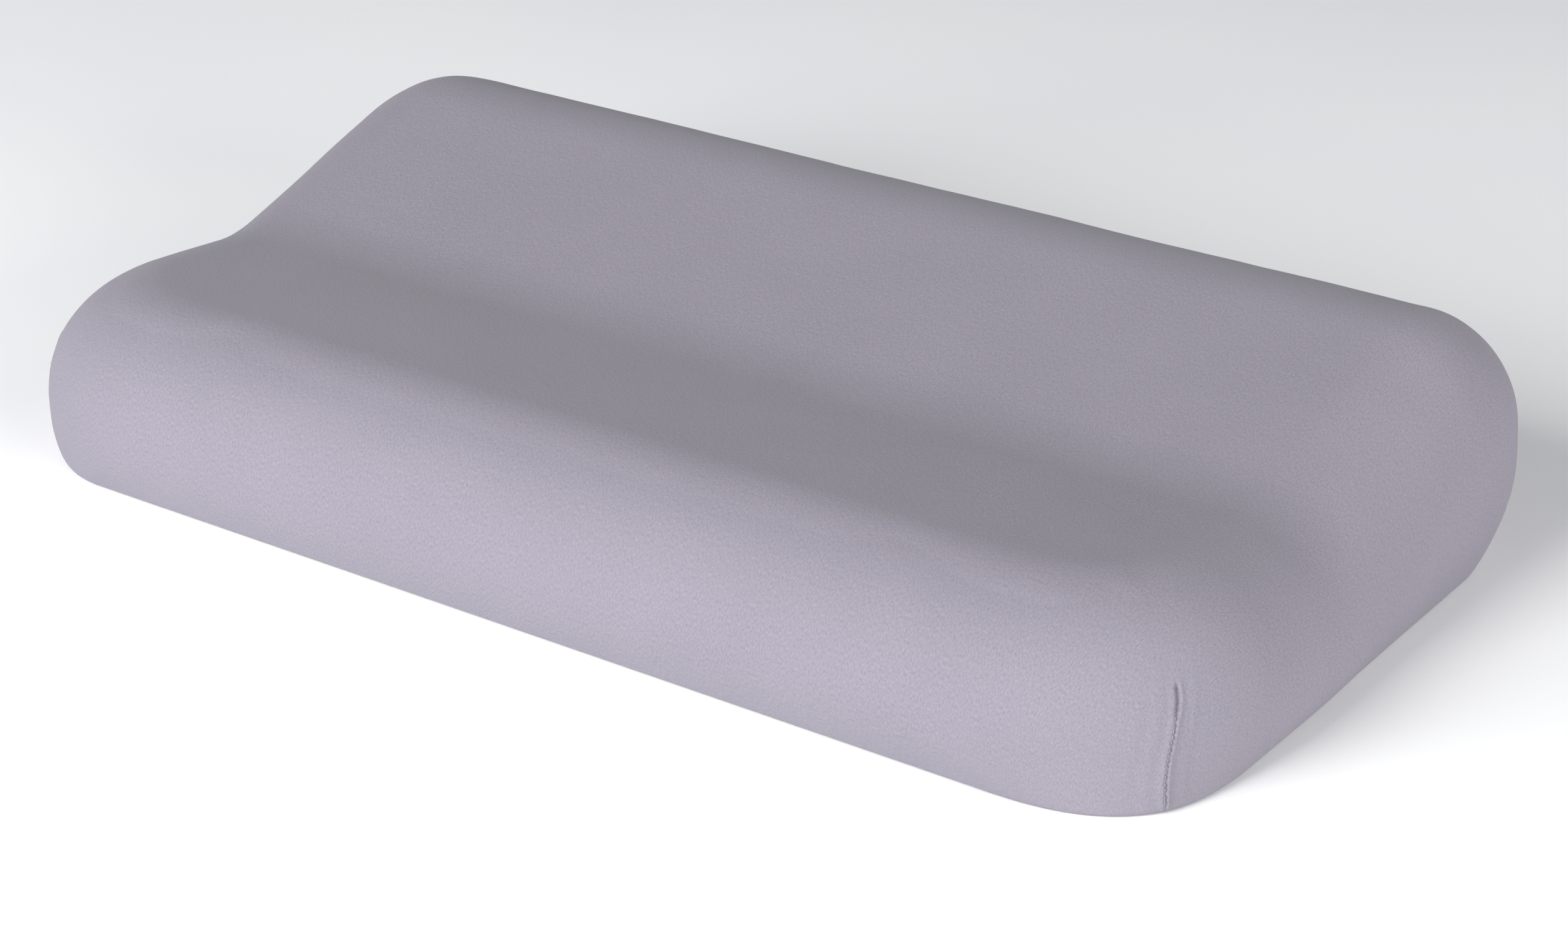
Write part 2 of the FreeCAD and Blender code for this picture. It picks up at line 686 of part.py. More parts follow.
def add_bail(body):
    """Arch on the slider's front plate that the pull tab hangs from."""
    arch_x = around(HOME, size("bail_length"))
    opening_x = around(HOME, "Dimensions.bail_length - 2 * Dimensions.bail_leg")
    arch_top = "%s + Dimensions.bail_height" % PLATE_FACE
    opening_top = "%s + Dimensions.bail_opening" % PLATE_FACE
    width = size("bail_width")
    opening_y = (PLATE_FACE, opening_top)
    through = "2 * " + width
    add_slab(body, "bail", "XY_Plane", LEVEL, arch_x, (PLATE_FACE, arch_top), width)
    return add_slab(body, "bail_opening", "XY_Plane", LEVEL, opening_x, opening_y, through, cut=True)


def make_pull_tab():
    """Flat pull tab with an eye; its end bar turns under the slider's bail."""
    body = new_body("zip_pull_tab")
    near_end = "(%s + Dimensions.pull_bar / 2)" % HOME
    eye_near = "(%s - Dimensions.pull_bar / 2)" % HOME
    far_end = "(%s - Dimensions.pull_length)" % HOME
    sketch = new_sketch(body, "pull_outline", "XZ_Plane", "-" + PULL_AXIS_Y)
    add_rectangle(sketch, "tab", (far_end, near_end), around(LEVEL, size("pull_width")))
    eye_x = ("%s - Dimensions.eye_length" % eye_near, eye_near)
    add_rectangle(sketch, "eye", eye_x, around(LEVEL, size("eye_width")))
    plate = body.newObject("PartDesign::Pad", "pull_plate")
    plate.Profile = sketch
    plate.Type = BY_LENGTH
    plate.Midplane = True
    bind_length(plate, "Length", size("pull_thickness"))
    doc.recompute()
    ends = (("pull_far_corner", far_end), ("pull_near_corner", near_end))
    for alias, end in ends:
        end_x = value(end)

        def is_at_end(point, end_x=end_x):
            return abs(point.x - end_x) < MATCH

        edges = edges_along(plate.Shape, FreeCAD.Vector(0, 1, 0), is_at_end)
        plate = add_fillet(body, alias + "s", plate, edges, size(alias))
    return body


def make_zip_seams():
    """The two lines of thread that hold the tapes, above and below the window."""
    outside = "-(Dimensions.thread_lift + Dimensions.thread_rise)"
    inside = "-Dimensions.thread_lift"
    seams = []
    for name, arc, side in (("upper", "side_arc_above", "+"), ("lower", "side_arc_below", "-")):
        rows = around("%s %s Dimensions.zip_seam_offset" % (LEVEL, side), size("thread_width"))
        seams.append(wall_band("zip_seam_" + name, arc, outside, inside, WINDOW, rows))
    return grouped("zip_seam_threads", seams)


def make_dart_threads():
    """Thread that closes the dart at each of the four corners of the cover."""
    outside = envelope("dart_outside", "(-Dimensions.thread_lift - Dimensions.thread_rise)")
    inside = envelope("dart_inside", "(-Dimensions.thread_lift)")
    skin = boolean("Cut", "dart_skin", outside, inside)
    slabs = []
    for corner, along, across in (("front", "front_corner", -1), ("rear", "rear_corner", 1)):
        for side, sign in (("right", 1), ("left", -1)):
            slabs.append(dart_slab("%s_%s_dart" % (corner, side), size(along), sign, across))
    zones = fused("dart_zones", slabs)
    return boolean("Common", "corner_dart_threads", skin, zones)


def dart_slab(name, corner_radius, x_side, y_side):
    """Thin upright slab through the centre of one plan corner, at the dart's angle to the X axis."""
    slab = doc.addObject("Part::Box", name)
    slab.setExpression(".Placement.Rotation.Axis.x", "0")
    slab.setExpression(".Placement.Rotation.Axis.y", "0")
    slab.setExpression(".Placement.Rotation.Axis.z", "1")
    swing = "Dimensions.dart_angle" if x_side > 0 else "(180 - Dimensions.dart_angle)"
    turn = "(%d * %s * 1deg)" % (y_side, swing)
    slab.setExpression(".Placement.Rotation.Angle", turn)
    bind_length(slab, "Length", "2 * %s" % corner_radius)
    bind_length(slab, "Width", size("thread_width"))
    bind_length(slab, "Height", "Dimensions.dart_top - Dimensions.dart_bottom")
    half_width = "Dimensions.thread_width / 2"
    centre_x = "%d * (%s - %s)" % (x_side, half("overall_length"), corner_radius)
    centre_y = "%d * (%s - %s)" % (y_side, REAR, corner_radius)
    bind_length(slab, ".Placement.Base.x", "%s + %s * sin(%s)" % (centre_x, half_width, turn))
    bind_length(slab, ".Placement.Base.y", "%s - %s * cos(%s)" % (centre_y, half_width, turn))
    bind_length(slab, ".Placement.Base.z", size("dart_bottom"))
    return slab


def make_label():
    """Blank care label on the strip below the zip."""
    outside = "-(Dimensions.thread_lift + Dimensions.label_thickness)"
    inside = "-Dimensions.thread_lift"
    x_range = around(size("label_x"), size("label_length"))
    z_range = (size("label_bottom"), size("label_top"))
    return wall_band("care_label", "side_arc_below", outside, inside, x_range, z_range)


def make_parts():
    """Build every sub-part of the pillow."""
    foam = envelope("foam_core", FOAM_OFFSET, size("zip_room"))
    outer = envelope("cover_outside", "0")
    parts = [foam]
    parts += make_liner()
    parts += make_cover(outer)
    parts += make_tapes()
    parts += [make_coil("zip_coil_upper", "+"), make_coil("zip_coil_lower", "-")]
    parts += make_stops()
    parts += [make_slider(), make_pull_tab()]
    parts += [make_zip_seams(), make_dart_threads(), make_label()]
    doc.recompute()
    return parts


def check_document(parts):
    """Stop if any feature failed or any sub-part's shape is unusable."""
    for feature in doc.Objects:
        if "Invalid" in feature.State or "Error" in feature.State:
            raise RuntimeError("feature failed: " + feature.Name)
    for part in parts:
        if part.Shape.isNull() or not part.Shape.isValid() or not part.Shape.Solids:
            raise RuntimeError("bad shape: " + part.Label)


def export_parts(parts):
    os.makedirs(PARTS_FOLDER, exist_ok=True)
    for part in parts:
        part.Shape.exportStep(os.path.join(PARTS_FOLDER, part.Label + ".step"))


parts = make_parts()
check_document(parts)
export_parts(parts)
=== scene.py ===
"""Looks of a contoured cervical pillow: a knitted cover over a foam core, with a zip in its rear wall.

Sizes are in millimetres, about the frame's origin, until a mesh is made.  +X runs along the
length, the low front lobe is at -Y and the high rear lobe at +Y.
"""

import math

import bmesh
import bpy
import numpy as np
from mathutils import Matrix, Vector, kdtree, noise


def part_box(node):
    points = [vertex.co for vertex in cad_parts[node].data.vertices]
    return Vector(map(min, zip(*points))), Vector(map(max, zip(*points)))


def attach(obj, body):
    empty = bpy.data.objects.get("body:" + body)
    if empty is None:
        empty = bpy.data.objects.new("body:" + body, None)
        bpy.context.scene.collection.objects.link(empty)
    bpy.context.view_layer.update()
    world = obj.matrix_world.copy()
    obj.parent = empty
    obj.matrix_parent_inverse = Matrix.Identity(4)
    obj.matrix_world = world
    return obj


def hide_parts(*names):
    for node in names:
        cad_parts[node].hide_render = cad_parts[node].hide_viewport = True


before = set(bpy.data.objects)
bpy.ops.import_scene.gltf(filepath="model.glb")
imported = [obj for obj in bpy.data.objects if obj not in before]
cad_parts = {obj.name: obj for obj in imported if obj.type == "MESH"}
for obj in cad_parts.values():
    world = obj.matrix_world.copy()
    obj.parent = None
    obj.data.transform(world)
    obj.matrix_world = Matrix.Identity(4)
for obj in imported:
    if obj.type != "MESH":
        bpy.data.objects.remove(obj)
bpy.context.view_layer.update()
MM = 0.001


def node_box(name):
    """Lowest and highest corner of a CAD node, in millimetres."""
    low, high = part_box(name)
    return np.array(low) / MM, np.array(high) / MM


# Overall sizes and the zip's place come from the frame.
COVER_LOW, COVER_HIGH = node_box("cover_top")
LENGTH = COVER_HIGH[0] - COVER_LOW[0]
DEPTH = COVER_HIGH[1] - COVER_LOW[1]
HALF_LENGTH = LENGTH / 2
HALF_DEPTH = DEPTH / 2
WINDOW_HALF = node_box("cover_rear_strip")[1][0]
WINDOW_BOTTOM = node_box("cover_rear_strip")[1][2]
ZIP_LEVEL = (node_box("zip_slider")[0][2] + node_box("zip_slider")[1][2]) / 2
WINDOW_TOP = 2 * ZIP_LEVEL - WINDOW_BOTTOM

# The cover's outline and walls.
FRONT_CORNER = 93.7
FRONT_CORNER_AT_BASE = 74.7
REAR_CORNER = 69.8
REAR_CORNER_AT_BASE = 86.3
WIDEST_HEIGHT = ZIP_LEVEL
FRONT_TUCK = 6.8
REAR_TUCK = 9.1
END_TUCK = 7.2
FRONT_RIGHT_TUCK = 0.3
FRONT_LEFT_TUCK = 1.7
LONG_WALL_LEAN = 205.0
END_WALL_LEAN = 232.3
RIM_RADIUS = 50.2
EASING = 30.0
BASE_EDGE = 2.5
FABRIC = 1.2


class Arc:
    """One arc of the top profile: where its highest or lowest point is, and its radius."""

    def __init__(self, y, height, radius, crest):
        self.y = y
        self.radius = radius
        self.centre = np.array([y, height - radius if crest else height + radius])


FRONT_CREST = Arc(-136.8, 75.5, 59.1, True)
VALLEY = Arc(-30.7, 67.1, 91.5, False)
REAR_CREST = Arc(104.2, 104.1, 60.4, True)

# The darts that draw the cover in at the four plan corners.
DART_TOP = 47.5
DART_OPEN = 14.0
DART_ANGLE = math.radians(39.0)
DART_LEAN = math.radians(5.4)
DART_HOOK = math.radians(0.7)
DART_RIDGE = 2.2
OTHER_DART_RIDGE = 0.3
STITCH_PITCH = 2.2
CORNERS = ((1, -1), (1, 1), (-1, 1), (-1, -1))


# ---------------------------------------------------------------- form of the cover


def straight_run(crest, dip):
    """The two ends of the straight run that touches a crest arc and the valley arc."""
    gap = dip.centre - crest.centre
    swing = math.acos((crest.radius + dip.radius) / np.hypot(*gap))
    toward = math.atan2(gap[1], gap[0])
    normals = [np.array([math.cos(a), math.sin(a)]) for a in (toward + swing, toward - swing)]
    normal = max(normals, key=lambda n: n[1])
    return crest.centre + crest.radius * normal, dip.centre - dip.radius * normal


RUN_DOWN = straight_run(FRONT_CREST, VALLEY)
RUN_UP = straight_run(REAR_CREST, VALLEY)


def crest_height(arc, y):
    """Height of a crest arc, carried on as a steep line where the arc would turn under."""
    reach = arc.radius * 0.94
    across = np.clip(y - arc.y, -reach, reach)
    beyond = np.maximum(np.abs(y - arc.y) - reach, 0)
    return arc.centre[1] + np.sqrt(arc.radius**2 - across**2) - beyond * 2.7


def run_height(run, y):
    """Height of a straight run of the profile."""
    (y_1, z_1), (y_2, z_2) = run
    return z_1 + (y - y_1) * (z_2 - z_1) / (y_2 - y_1)


def height(y):
    """Height of the top profile: front crest, run down, valley, run up, rear crest."""
    y = np.asarray(y, float)
    across = np.clip(y - VALLEY.y, -VALLEY.radius * 0.99, VALLEY.radius * 0.99)
    dip = VALLEY.centre[1] - np.sqrt(VALLEY.radius**2 - across**2)
    stretches = [y < RUN_DOWN[0][0], y < RUN_DOWN[1][0], y < RUN_UP[1][0], y < RUN_UP[0][0]]
    heights = [crest_height(FRONT_CREST, y), run_height(RUN_DOWN, y), dip, run_height(RUN_UP, y)]
    return np.select(stretches, heights, crest_height(REAR_CREST, y))


def slope(y):
    """Slope of the top profile."""
    return height(y + 0.5) - height(y - 0.5)


PROFILE_Y = np.linspace(-HALF_DEPTH, HALF_DEPTH, 701)
PROFILE_STEPS = np.hypot(np.diff(PROFILE_Y), np.diff(height(PROFILE_Y)))
PROFILE_LENGTH = np.concatenate([[0], np.cumsum(PROFILE_STEPS)])


def cloth_length(y):
    """Length of cloth over the top profile, from the front to y."""
    return np.interp(y, PROFILE_Y, PROFILE_LENGTH)


def wall_inset(z, widest, tuck, lean):
    """How far a wall stands in at height z: tucked under below its widest height, leaning in above."""
    below = (widest**2 + tuck**2) / (2 * tuck)
    under = below - np.sqrt(np.maximum(below**2 - np.maximum(widest - z, 0) ** 2, 0))
    over = lean - np.sqrt(lean**2 - np.maximum(z - WIDEST_HEIGHT, 0) ** 2)
    return under + over


def corner_turns(dart, step):
    """Angles through one corner arc, in radians: close together beside the dart."""
    coarse = np.arange(0.0, 90.01, step)
    coarse = coarse[np.abs(coarse - dart) > 11]
    fine = dart + np.linspace(-10.8, 10.8, 65) if step < 3 else [dart]
    return np.radians(np.sort(np.concatenate([coarse, fine])))


def outline(front, rear, step):
    """Points and outward directions round a rounded rectangle, from the front right corner."""
    points = []
    outward = []
    dart = math.degrees(DART_ANGLE)
    corners = ((1, -1, front, -90), (1, 1, rear, 0), (-1, 1, rear, 90), (-1, -1, front, 180))
    for x_side, y_side, radius, first in corners:
        place = dart if first in (0, 180) else 90 - dart
        turns = math.radians(first) + corner_turns(place, step)
        centre = np.array([x_side * (HALF_LENGTH - radius), y_side * (HALF_DEPTH - radius)])
        around = np.column_stack([np.cos(turns), np.sin(turns)])
        points.append(centre + radius * around)
        outward.append(around)
    runs = []
    for index, length in enumerate((DEPTH, LENGTH, DEPTH, LENGTH)):
        start = points[index][-1]
        end = points[(index + 1) % 4][0]
        shares = np.linspace(0, 1, int(length / (2.4 * step)))[1:-1, None]
        runs += [points[index], start + (end - start) * shares]
        outward[2 * index + 1:2 * index + 1] = [np.repeat(outward[2 * index][-1:], len(shares), 0)]
    return np.concatenate(runs), np.concatenate(outward)


class Skin:
    """The cover's outer face as rows of points, from the middle of the base to the middle of the top."""

    def __init__(self, step=2.0, wall_rows=24, rim_rows=64, inner_rows=26):
        self.ring, self.outward = outline(FRONT_CORNER, REAR_CORNER, step)
        self.base_ring, _ = outline(FRONT_CORNER_AT_BASE, REAR_CORNER_AT_BASE, step)
        front_share = np.maximum(-self.outward[:, 1], 0) ** 2
        rear_share = np.maximum(self.outward[:, 1], 0) ** 2
        end_share = self.outward[:, 0] ** 2
        self.tuck = FRONT_TUCK * front_share + REAR_TUCK * rear_share + END_TUCK * end_share
        own = np.where(self.outward[:, 0] > 0, FRONT_RIGHT_TUCK, FRONT_LEFT_TUCK)
        # end_share * front_share is a quarter in the middle of a corner
        self.tuck *= 1 + (own - 1) * 4 * end_share * front_share
        self.lean = LONG_WALL_LEAN * (1 - end_share) + END_WALL_LEAN * end_share
        even_ring, _ = outline(REAR_CORNER, REAR_CORNER, step)
        reach = HALF_LENGTH - HALF_DEPTH
        self.middle = np.column_stack([np.clip(even_ring[:, 0], -reach, reach), np.zeros(len(even_ring))])
        self.find_rim()
        rows = self.base_rows(inner_rows) + self.edge_rows(5)
        rows = rows + self.wall_rows(wall_rows) + self.rim_rows(rim_rows)
        self.first_top = len(rows)
        rows = rows + self.top_rows(inner_rows, rows[-1])
        self.points = np.array(rows)
        self.fabric = self.lay_fabric()

    def find_rim(self):
        """Centres and end directions of the rim arcs, each in the upright plane square to the wall."""
        rim_z = np.full(len(self.ring), 30.0)
        for _ in range(24):
            lift = np.maximum(rim_z - WIDEST_HEIGHT, 0) / self.lean
            level = np.sqrt(1 - lift**2)
            reach = RIM_RADIUS * level + self.lean * (1 - level)
            centre = self.ring - self.outward * reach[:, None]
            rise = slope(centre[:, 1]) * self.outward[:, 1]
            top = height(centre[:, 1]) - RIM_RADIUS * (np.sqrt(1 + rise**2) - lift)
            rim_z = 0.5 * rim_z + 0.5 * top
        self.rise = rise
        self.rim_z = np.maximum(rim_z, WIDEST_HEIGHT * 0.3)
        self.widest = np.minimum(self.rim_z, WIDEST_HEIGHT)
        self.rim_centre = np.column_stack([centre, self.rim_z - RIM_RADIUS * lift])
        self.wall_normal = np.column_stack([self.outward * level[:, None], lift])
        top_normal = np.column_stack([-self.outward * rise[:, None], np.ones(len(rise))])
        self.top_normal = top_normal / np.linalg.norm(top_normal, axis=1)[:, None]

    def wall_point(self, z):
        """The wall's points at height z, one to a column."""
        share = np.clip(z / self.widest, 0, 1)[:, None]
        share = share * (2 - share)
        plan = self.base_ring * (1 - share) + self.ring * share
        inset = wall_inset(z, self.widest, self.tuck, self.lean)
        return np.column_stack([plan - self.outward * inset[:, None], z])

    def base_rows(self, count):
        """Flat rows from the middle of the base out to its edge."""
        edge = self.wall_point(np.zeros(len(self.ring)))
        edge[:, :2] -= self.outward * BASE_EDGE
        centre = np.column_stack([self.middle, np.zeros(len(self.ring))])
        return [centre + (edge - centre) * share for share in np.linspace(0, 1, count)[:-1]]

    def edge_rows(self, count):
        """Rows that turn from the base up into the wall."""
        corner = self.wall_point(np.zeros(len(self.ring)))
        inner = corner - np.column_stack([self.outward * BASE_EDGE, np.zeros(len(corner))])
        upper = self.wall_point(np.full(len(self.ring), BASE_EDGE))
        shares = np.linspace(0, 1, count + 1)[:-1]
        return [inner * (1 - s) ** 2 + 2 * corner * s * (1 - s) + upper * s**2 for s in shares]

    def wall_rows(self, count):
        """Rows up the arched wall to where the rim starts."""
        shares = np.linspace(0, 1, count)
        return [self.wall_point(BASE_EDGE + (self.rim_z - BASE_EDGE) * share) for share in shares]

    def rim_rows(self, count):
        """Rows round the rim, from the wall over to the top."""
        turn = np.arccos((self.wall_normal * self.top_normal).sum(1))[:, None]
        rows = []
        for share in np.linspace(0, 1, count + 1)[1:]:
            mixed = np.sin((1 - share) * turn) * self.wall_normal + np.sin(share * turn) * self.top_normal
            rows.append(self.rim_centre + RIM_RADIUS * mixed / np.sin(turn))
        return rows

    def top_rows(self, count, rim):
        """Rows from the rim in over the wave-shaped top to its middle, eased smoothly off the rim."""
        way = self.middle - rim[:, :2]
        reach = np.linalg.norm(way, axis=1)
        facing = (way * self.outward).sum(1) / reach
        step = rim[:, 2] - height(rim[:, 1])
        turn = (self.rise - slope(rim[:, 1]) * self.outward[:, 1]) * facing
        rows = []
        for share in np.linspace(0, 1, count)[1:]:
            plan = rim[:, :2] * (1 - share) + self.middle * share
            part = np.clip(share * reach / EASING, 0, 1)
            eased = (step * (1 + 2 * part) + turn * EASING * part) * (1 - part) ** 2
            rows.append(np.column_stack([plan, height(plan[:, 1]) + eased]))
        return rows

    def lay_fabric(self):
        """Where each point lies on the flat cloth, which runs over the top and down each wall."""
        steps = np.linalg.norm(np.diff(self.points[: self.first_top], axis=0), axis=2)
        below = np.cumsum(steps[::-1], axis=0)[::-1]
        below = np.concatenate([below, np.zeros((1, len(self.ring)))])
        contact = self.points[self.first_top - 1]
        walls_x = contact[:, 0] + self.outward[:, 0] * below
        walls_y = cloth_length(contact[:, 1]) + self.outward[:, 1] * below
        top = self.points[self.first_top:]
        laid_x = np.concatenate([walls_x, top[..., 0]])
        laid_y = np.concatenate([walls_y, cloth_length(top[..., 1])])
        return np.stack([laid_x, laid_y, np.zeros_like(laid_x)], axis=2)

    def normals(self, points):
        """Outward unit normals of the rows and columns of points."""
        along = np.roll(points, -1, axis=1) - np.roll(points, 1, axis=1)
        upward = np.gradient(points, axis=0)
        crossed = np.cross(along, upward)
        crossed[0] = (0, 0, -1)
        crossed[-1] = (0, -slope(0), 1)
        return crossed / np.maximum(np.linalg.norm(crossed, axis=2), 1e-9)[..., None]

    def faces(self, first=0, last=None):
        """Quads between neighbouring rows."""
        columns = self.points.shape[1]
        last = self.points.shape[0] - 1 if last is None else last
        row, column = np.meshgrid(np.arange(first, last), np.arange(columns), indexing="ij")
        after = (column + 1) % columns
        corners = [row * columns + column, row * columns + after,
                   (row + 1) * columns + after, (row + 1) * columns + column]
        return np.stack(corners, axis=-1).reshape(-1, 4)


# ---------------------------------------------------------------- mesh helpers


def new_object(name, data):
    """An object in the scene that holds data."""
    item = bpy.data.objects.new(name, data)
    bpy.context.scene.collection.objects.link(item)
    return item


def mesh_object(name, points, faces, fabric=None):
    """A smooth mesh object from points in millimetres; fabric is kept as a point attribute."""
    mesh = bpy.data.meshes.new(name)
    mesh.from_pydata((np.asarray(points).reshape(-1, 3) * MM).tolist(), [], [list(face) for face in faces])
    if fabric is not None:
        laid = mesh.attributes.new("fabric", "FLOAT_VECTOR", "POINT")
        laid.data.foreach_set("vector", np.asarray(fabric, np.float32).ravel())
    mesh.polygons.foreach_set("use_smooth", [True] * len(mesh.polygons))
    mesh.update()
    return new_object(name, mesh)


def weld(item, distance=0.00002):
    """Joins points that lie together and drops faces with no area."""
    work = bmesh.new()
    work.from_mesh(item.data)
    bmesh.ops.remove_doubles(work, verts=work.verts, dist=distance)
    bmesh.ops.dissolve_degenerate(work, edges=work.edges, dist=distance / 2)
    work.to_mesh(item.data)
    work.free()


def keep_faces(item, wanted, cuts=()):
    """Cuts the mesh along planes, given as point and normal, and keeps the faces that are wanted."""
    work = bmesh.new()
    work.from_mesh(item.data)
    for point, normal in cuts:
        geometry = work.verts[:] + work.edges[:] + work.faces[:]
        bmesh.ops.bisect_plane(work, geom=geometry, plane_co=Vector(point) * MM, plane_no=normal)
    dropped = [f for f in work.faces if not wanted(f.calc_center_median() / MM)]
    bmesh.ops.delete(work, geom=dropped, context="FACES")
    work.to_mesh(item.data)
    work.free()


def add_modifier(item, kind, **settings):
    """Adds a modifier and sets its properties."""
    modifier = item.modifiers.new(kind.lower(), kind)
    for name, value in settings.items():
        setattr(modifier, name, value)
    return modifier


def apply_modifiers(item):
    """Replaces the mesh by what its modifiers make of it."""
    graph = bpy.context.evaluated_depsgraph_get()
    made = bpy.data.meshes.new_from_object(item.evaluated_get(graph))
    item.modifiers.clear()
    item.data = made


def thicken(item, thickness):
    """Gives a sheet its thickness, inward from the sheet."""
    add_modifier(item, "SOLIDIFY", thickness=thickness * MM, offset=-1.0, use_rim=True)
    apply_modifiers(item)
    item.data.polygons.foreach_set("use_smooth", [True] * len(item.data.polygons))


def tube(path, radius, sides=6, closed_ends=True):
    """Points and faces of a round tube along a path of points; the ends taper shut."""
    path = np.asarray(path, float)
    run = np.gradient(path, axis=0)
    run /= np.linalg.norm(run, axis=1)[:, None]
    helper = np.array([0.31, 0.23, 0.92])
    side = np.cross(run, helper)
    side /= np.linalg.norm(side, axis=1)[:, None]
    up = np.cross(side, run)
    radii = np.full(len(path), float(radius))
    if closed_ends:
        radii[[0, -1]] *= 0.35
    angle = np.arange(sides) * 2 * math.pi / sides
    rings = [p + r * (np.outer(np.cos(angle), s) + np.outer(np.sin(angle), u))
             for p, r, s, u in zip(path, radii, side, up)]
    faces = []
    for ring in range(len(path) - 1):
        for k in range(sides):
            after = (k + 1) % sides
            faces.append([ring * sides + k, ring * sides + after,
                          (ring + 1) * sides + after, (ring + 1) * sides + k])
    faces.append(list(range(sides))[::-1])
    faces.append([(len(path) - 1) * sides + k for k in range(sides)])
    return np.concatenate(rings), faces


def joined(parts):
    """Points and faces of several parts as one mesh."""
    points = []
    faces = []
    count = 0
    for part_points, part_faces in parts:
        points.append(part_points)
        faces += [[index + count for index in face] for face in part_faces]
        count += len(part_points)
    return np.concatenate(points), faces


# ---------------------------------------------------------------- cloth

# The simulation holds no foam, so its movement is limited here: half of what points outward is used, and
# little of what points inward, where the foam would stop the cloth.
PRESSURE = 4.0
SIMULATED_FRAMES = 20
SHEET_VOXEL = 6.0
PINNED_BELOW = 6.0
LIFT_SHARE = 0.5
DRAW_SHARE = 0.12
MOST_MOVEMENT = 2.4


def inflate():
    """Simulates the cover under inner pressure; returns where its points were and how each moved."""
    coarse = Skin(step=6.0, wall_rows=8, rim_rows=14, inner_rows=14)
    sheet = mesh_object("sheet", coarse.points, coarse.faces())
    weld(sheet, 0.0005)
    add_modifier(sheet, "REMESH", mode="VOXEL", voxel_size=SHEET_VOXEL * MM)
    apply_modifiers(sheet)
    start = mesh_points(sheet)
    held = sheet.vertex_groups.new(name="held")
    low = [int(i) for i in np.nonzero(start[:, 2] < PINNED_BELOW * MM)[0]]
    held.add(low, 1.0, "REPLACE")
    cloth = add_modifier(sheet, "CLOTH")
    cloth.settings.quality = 5
    cloth.settings.mass = 0.3
    cloth.settings.use_pressure = True
    cloth.settings.uniform_pressure_force = PRESSURE
    cloth.settings.vertex_group_mass = "held"
    cloth.settings.effector_weights.gravity = 0.0
    scene = bpy.context.scene
    for step in range(1, SIMULATED_FRAMES + 1):
        scene.frame_set(step)
    apply_modifiers(sheet)
    scene.frame_set(1)
    moved = mesh_points(sheet) - start
    distance = np.linalg.norm(moved, axis=1)
    most = MOST_MOVEMENT * MM
    capped = most * np.tanh(distance / most)
    moved *= (capped / np.maximum(distance, 1e-9))[:, None]
    bpy.data.objects.remove(sheet)
    return start / MM, moved / MM


def mesh_points(item):
    """The mesh's points as an array, in metres."""
    flat = np.zeros(len(item.data.vertices) * 3, np.float32)
    item.data.vertices.foreach_get("co", flat)
    return flat.reshape(-1, 3).astype(float)


def carry(start, moved, points, normals):
    """How far each of points moves along its normal, taken from the simulated points near it."""
    tree = kdtree.KDTree(len(start))
    for index, place in enumerate(start):
        tree.insert(place, index)
    tree.balance()
    shift = np.zeros(len(points))
    for index, (place, normal) in enumerate(zip(points, normals)):
        near = tree.find_n(place, 6)
        weights = np.array([1 / (2 + gap) ** 2 for _, _, gap in near])
        total = (moved[[n for _, n, _ in near]] * weights[:, None]).sum(0) / weights.sum()
        shift[index] = total @ normal
    return shift


def settle(skin, shift):
    """Smooths the carried movement over neighbouring rows and columns."""
    field = shift.reshape(skin.points.shape[:2])
    for _ in range(6):
        field = (np.roll(field, 1, 1) + 2 * field + np.roll(field, -1, 1)) / 4
        padded = np.pad(field, ((1, 1), (0, 0)), mode="edge")
        field = (padded[:-2] + 2 * field + padded[2:]) / 4
    return field


# ---------------------------------------------------------------- darts


def dart_frame(x_side, y_side, points):
    """For one corner: distance from the dart's line, positive on the end wall's side, for each point."""
    radius = FRONT_CORNER if y_side < 0 else REAR_CORNER
    centre = (x_side * (HALF_LENGTH - radius), y_side * (HALF_DEPTH - radius))
    along = x_side * (points[..., 0] - centre[0])
    out = y_side * (points[..., 1] - centre[1])
    angle = np.arctan2(out, along)
    reach = np.hypot(out, along)
    rise = np.maximum(points[..., 2], 0) / DART_TOP
    line = DART_ANGLE - DART_LEAN * rise**1.5 + DART_HOOK * smooth_step((rise - 0.84) / 0.16)
    inside = (along > 0) & (out > 0)
    return np.where(inside, (line - angle) * reach, 99.0)


def smooth_step(value):
    """0 below 0, 1 above 1, smooth between."""
    value = np.clip(value, 0, 1)
    return value * value * (3 - 2 * value)


def bump(across, place, width):
    """A bell-shaped ridge across a line."""
    return np.exp(-(((across - place) / width) ** 2))


def dart_relief(across, z, ridge_height):
    """Height of the cover near one dart: a closed crease along a ridge, with a fold beside it."""
    fade = smooth_step((DART_TOP - z) / 2.5)
    opened = smooth_step((z - (DART_TOP - DART_OPEN)) / 4) * fade
    crease = -0.8 * bump(across, 0, 0.42 + 0.38 * opened) * fade * (1 + 1.1 * opened)
    fold = 0.45 * bump(across, 1.2 + 0.5 * opened, 0.65) * fade
    lip = 0.1 * bump(across, -1.6, 0.9) * fade
    fall = np.exp(-np.abs(across) / np.where(across > 0, 9, 14))
    ridge = ridge_height * fall * smooth_step((DART_TOP + 8 - z) / 50)
    pucker = 0.15 * np.cos(across * 2 * math.pi / 7.5) * bump(across, 0, 15)
    return crease + fold + lip + ridge + pucker * smooth_step((DART_TOP + 10 - z) / 20)


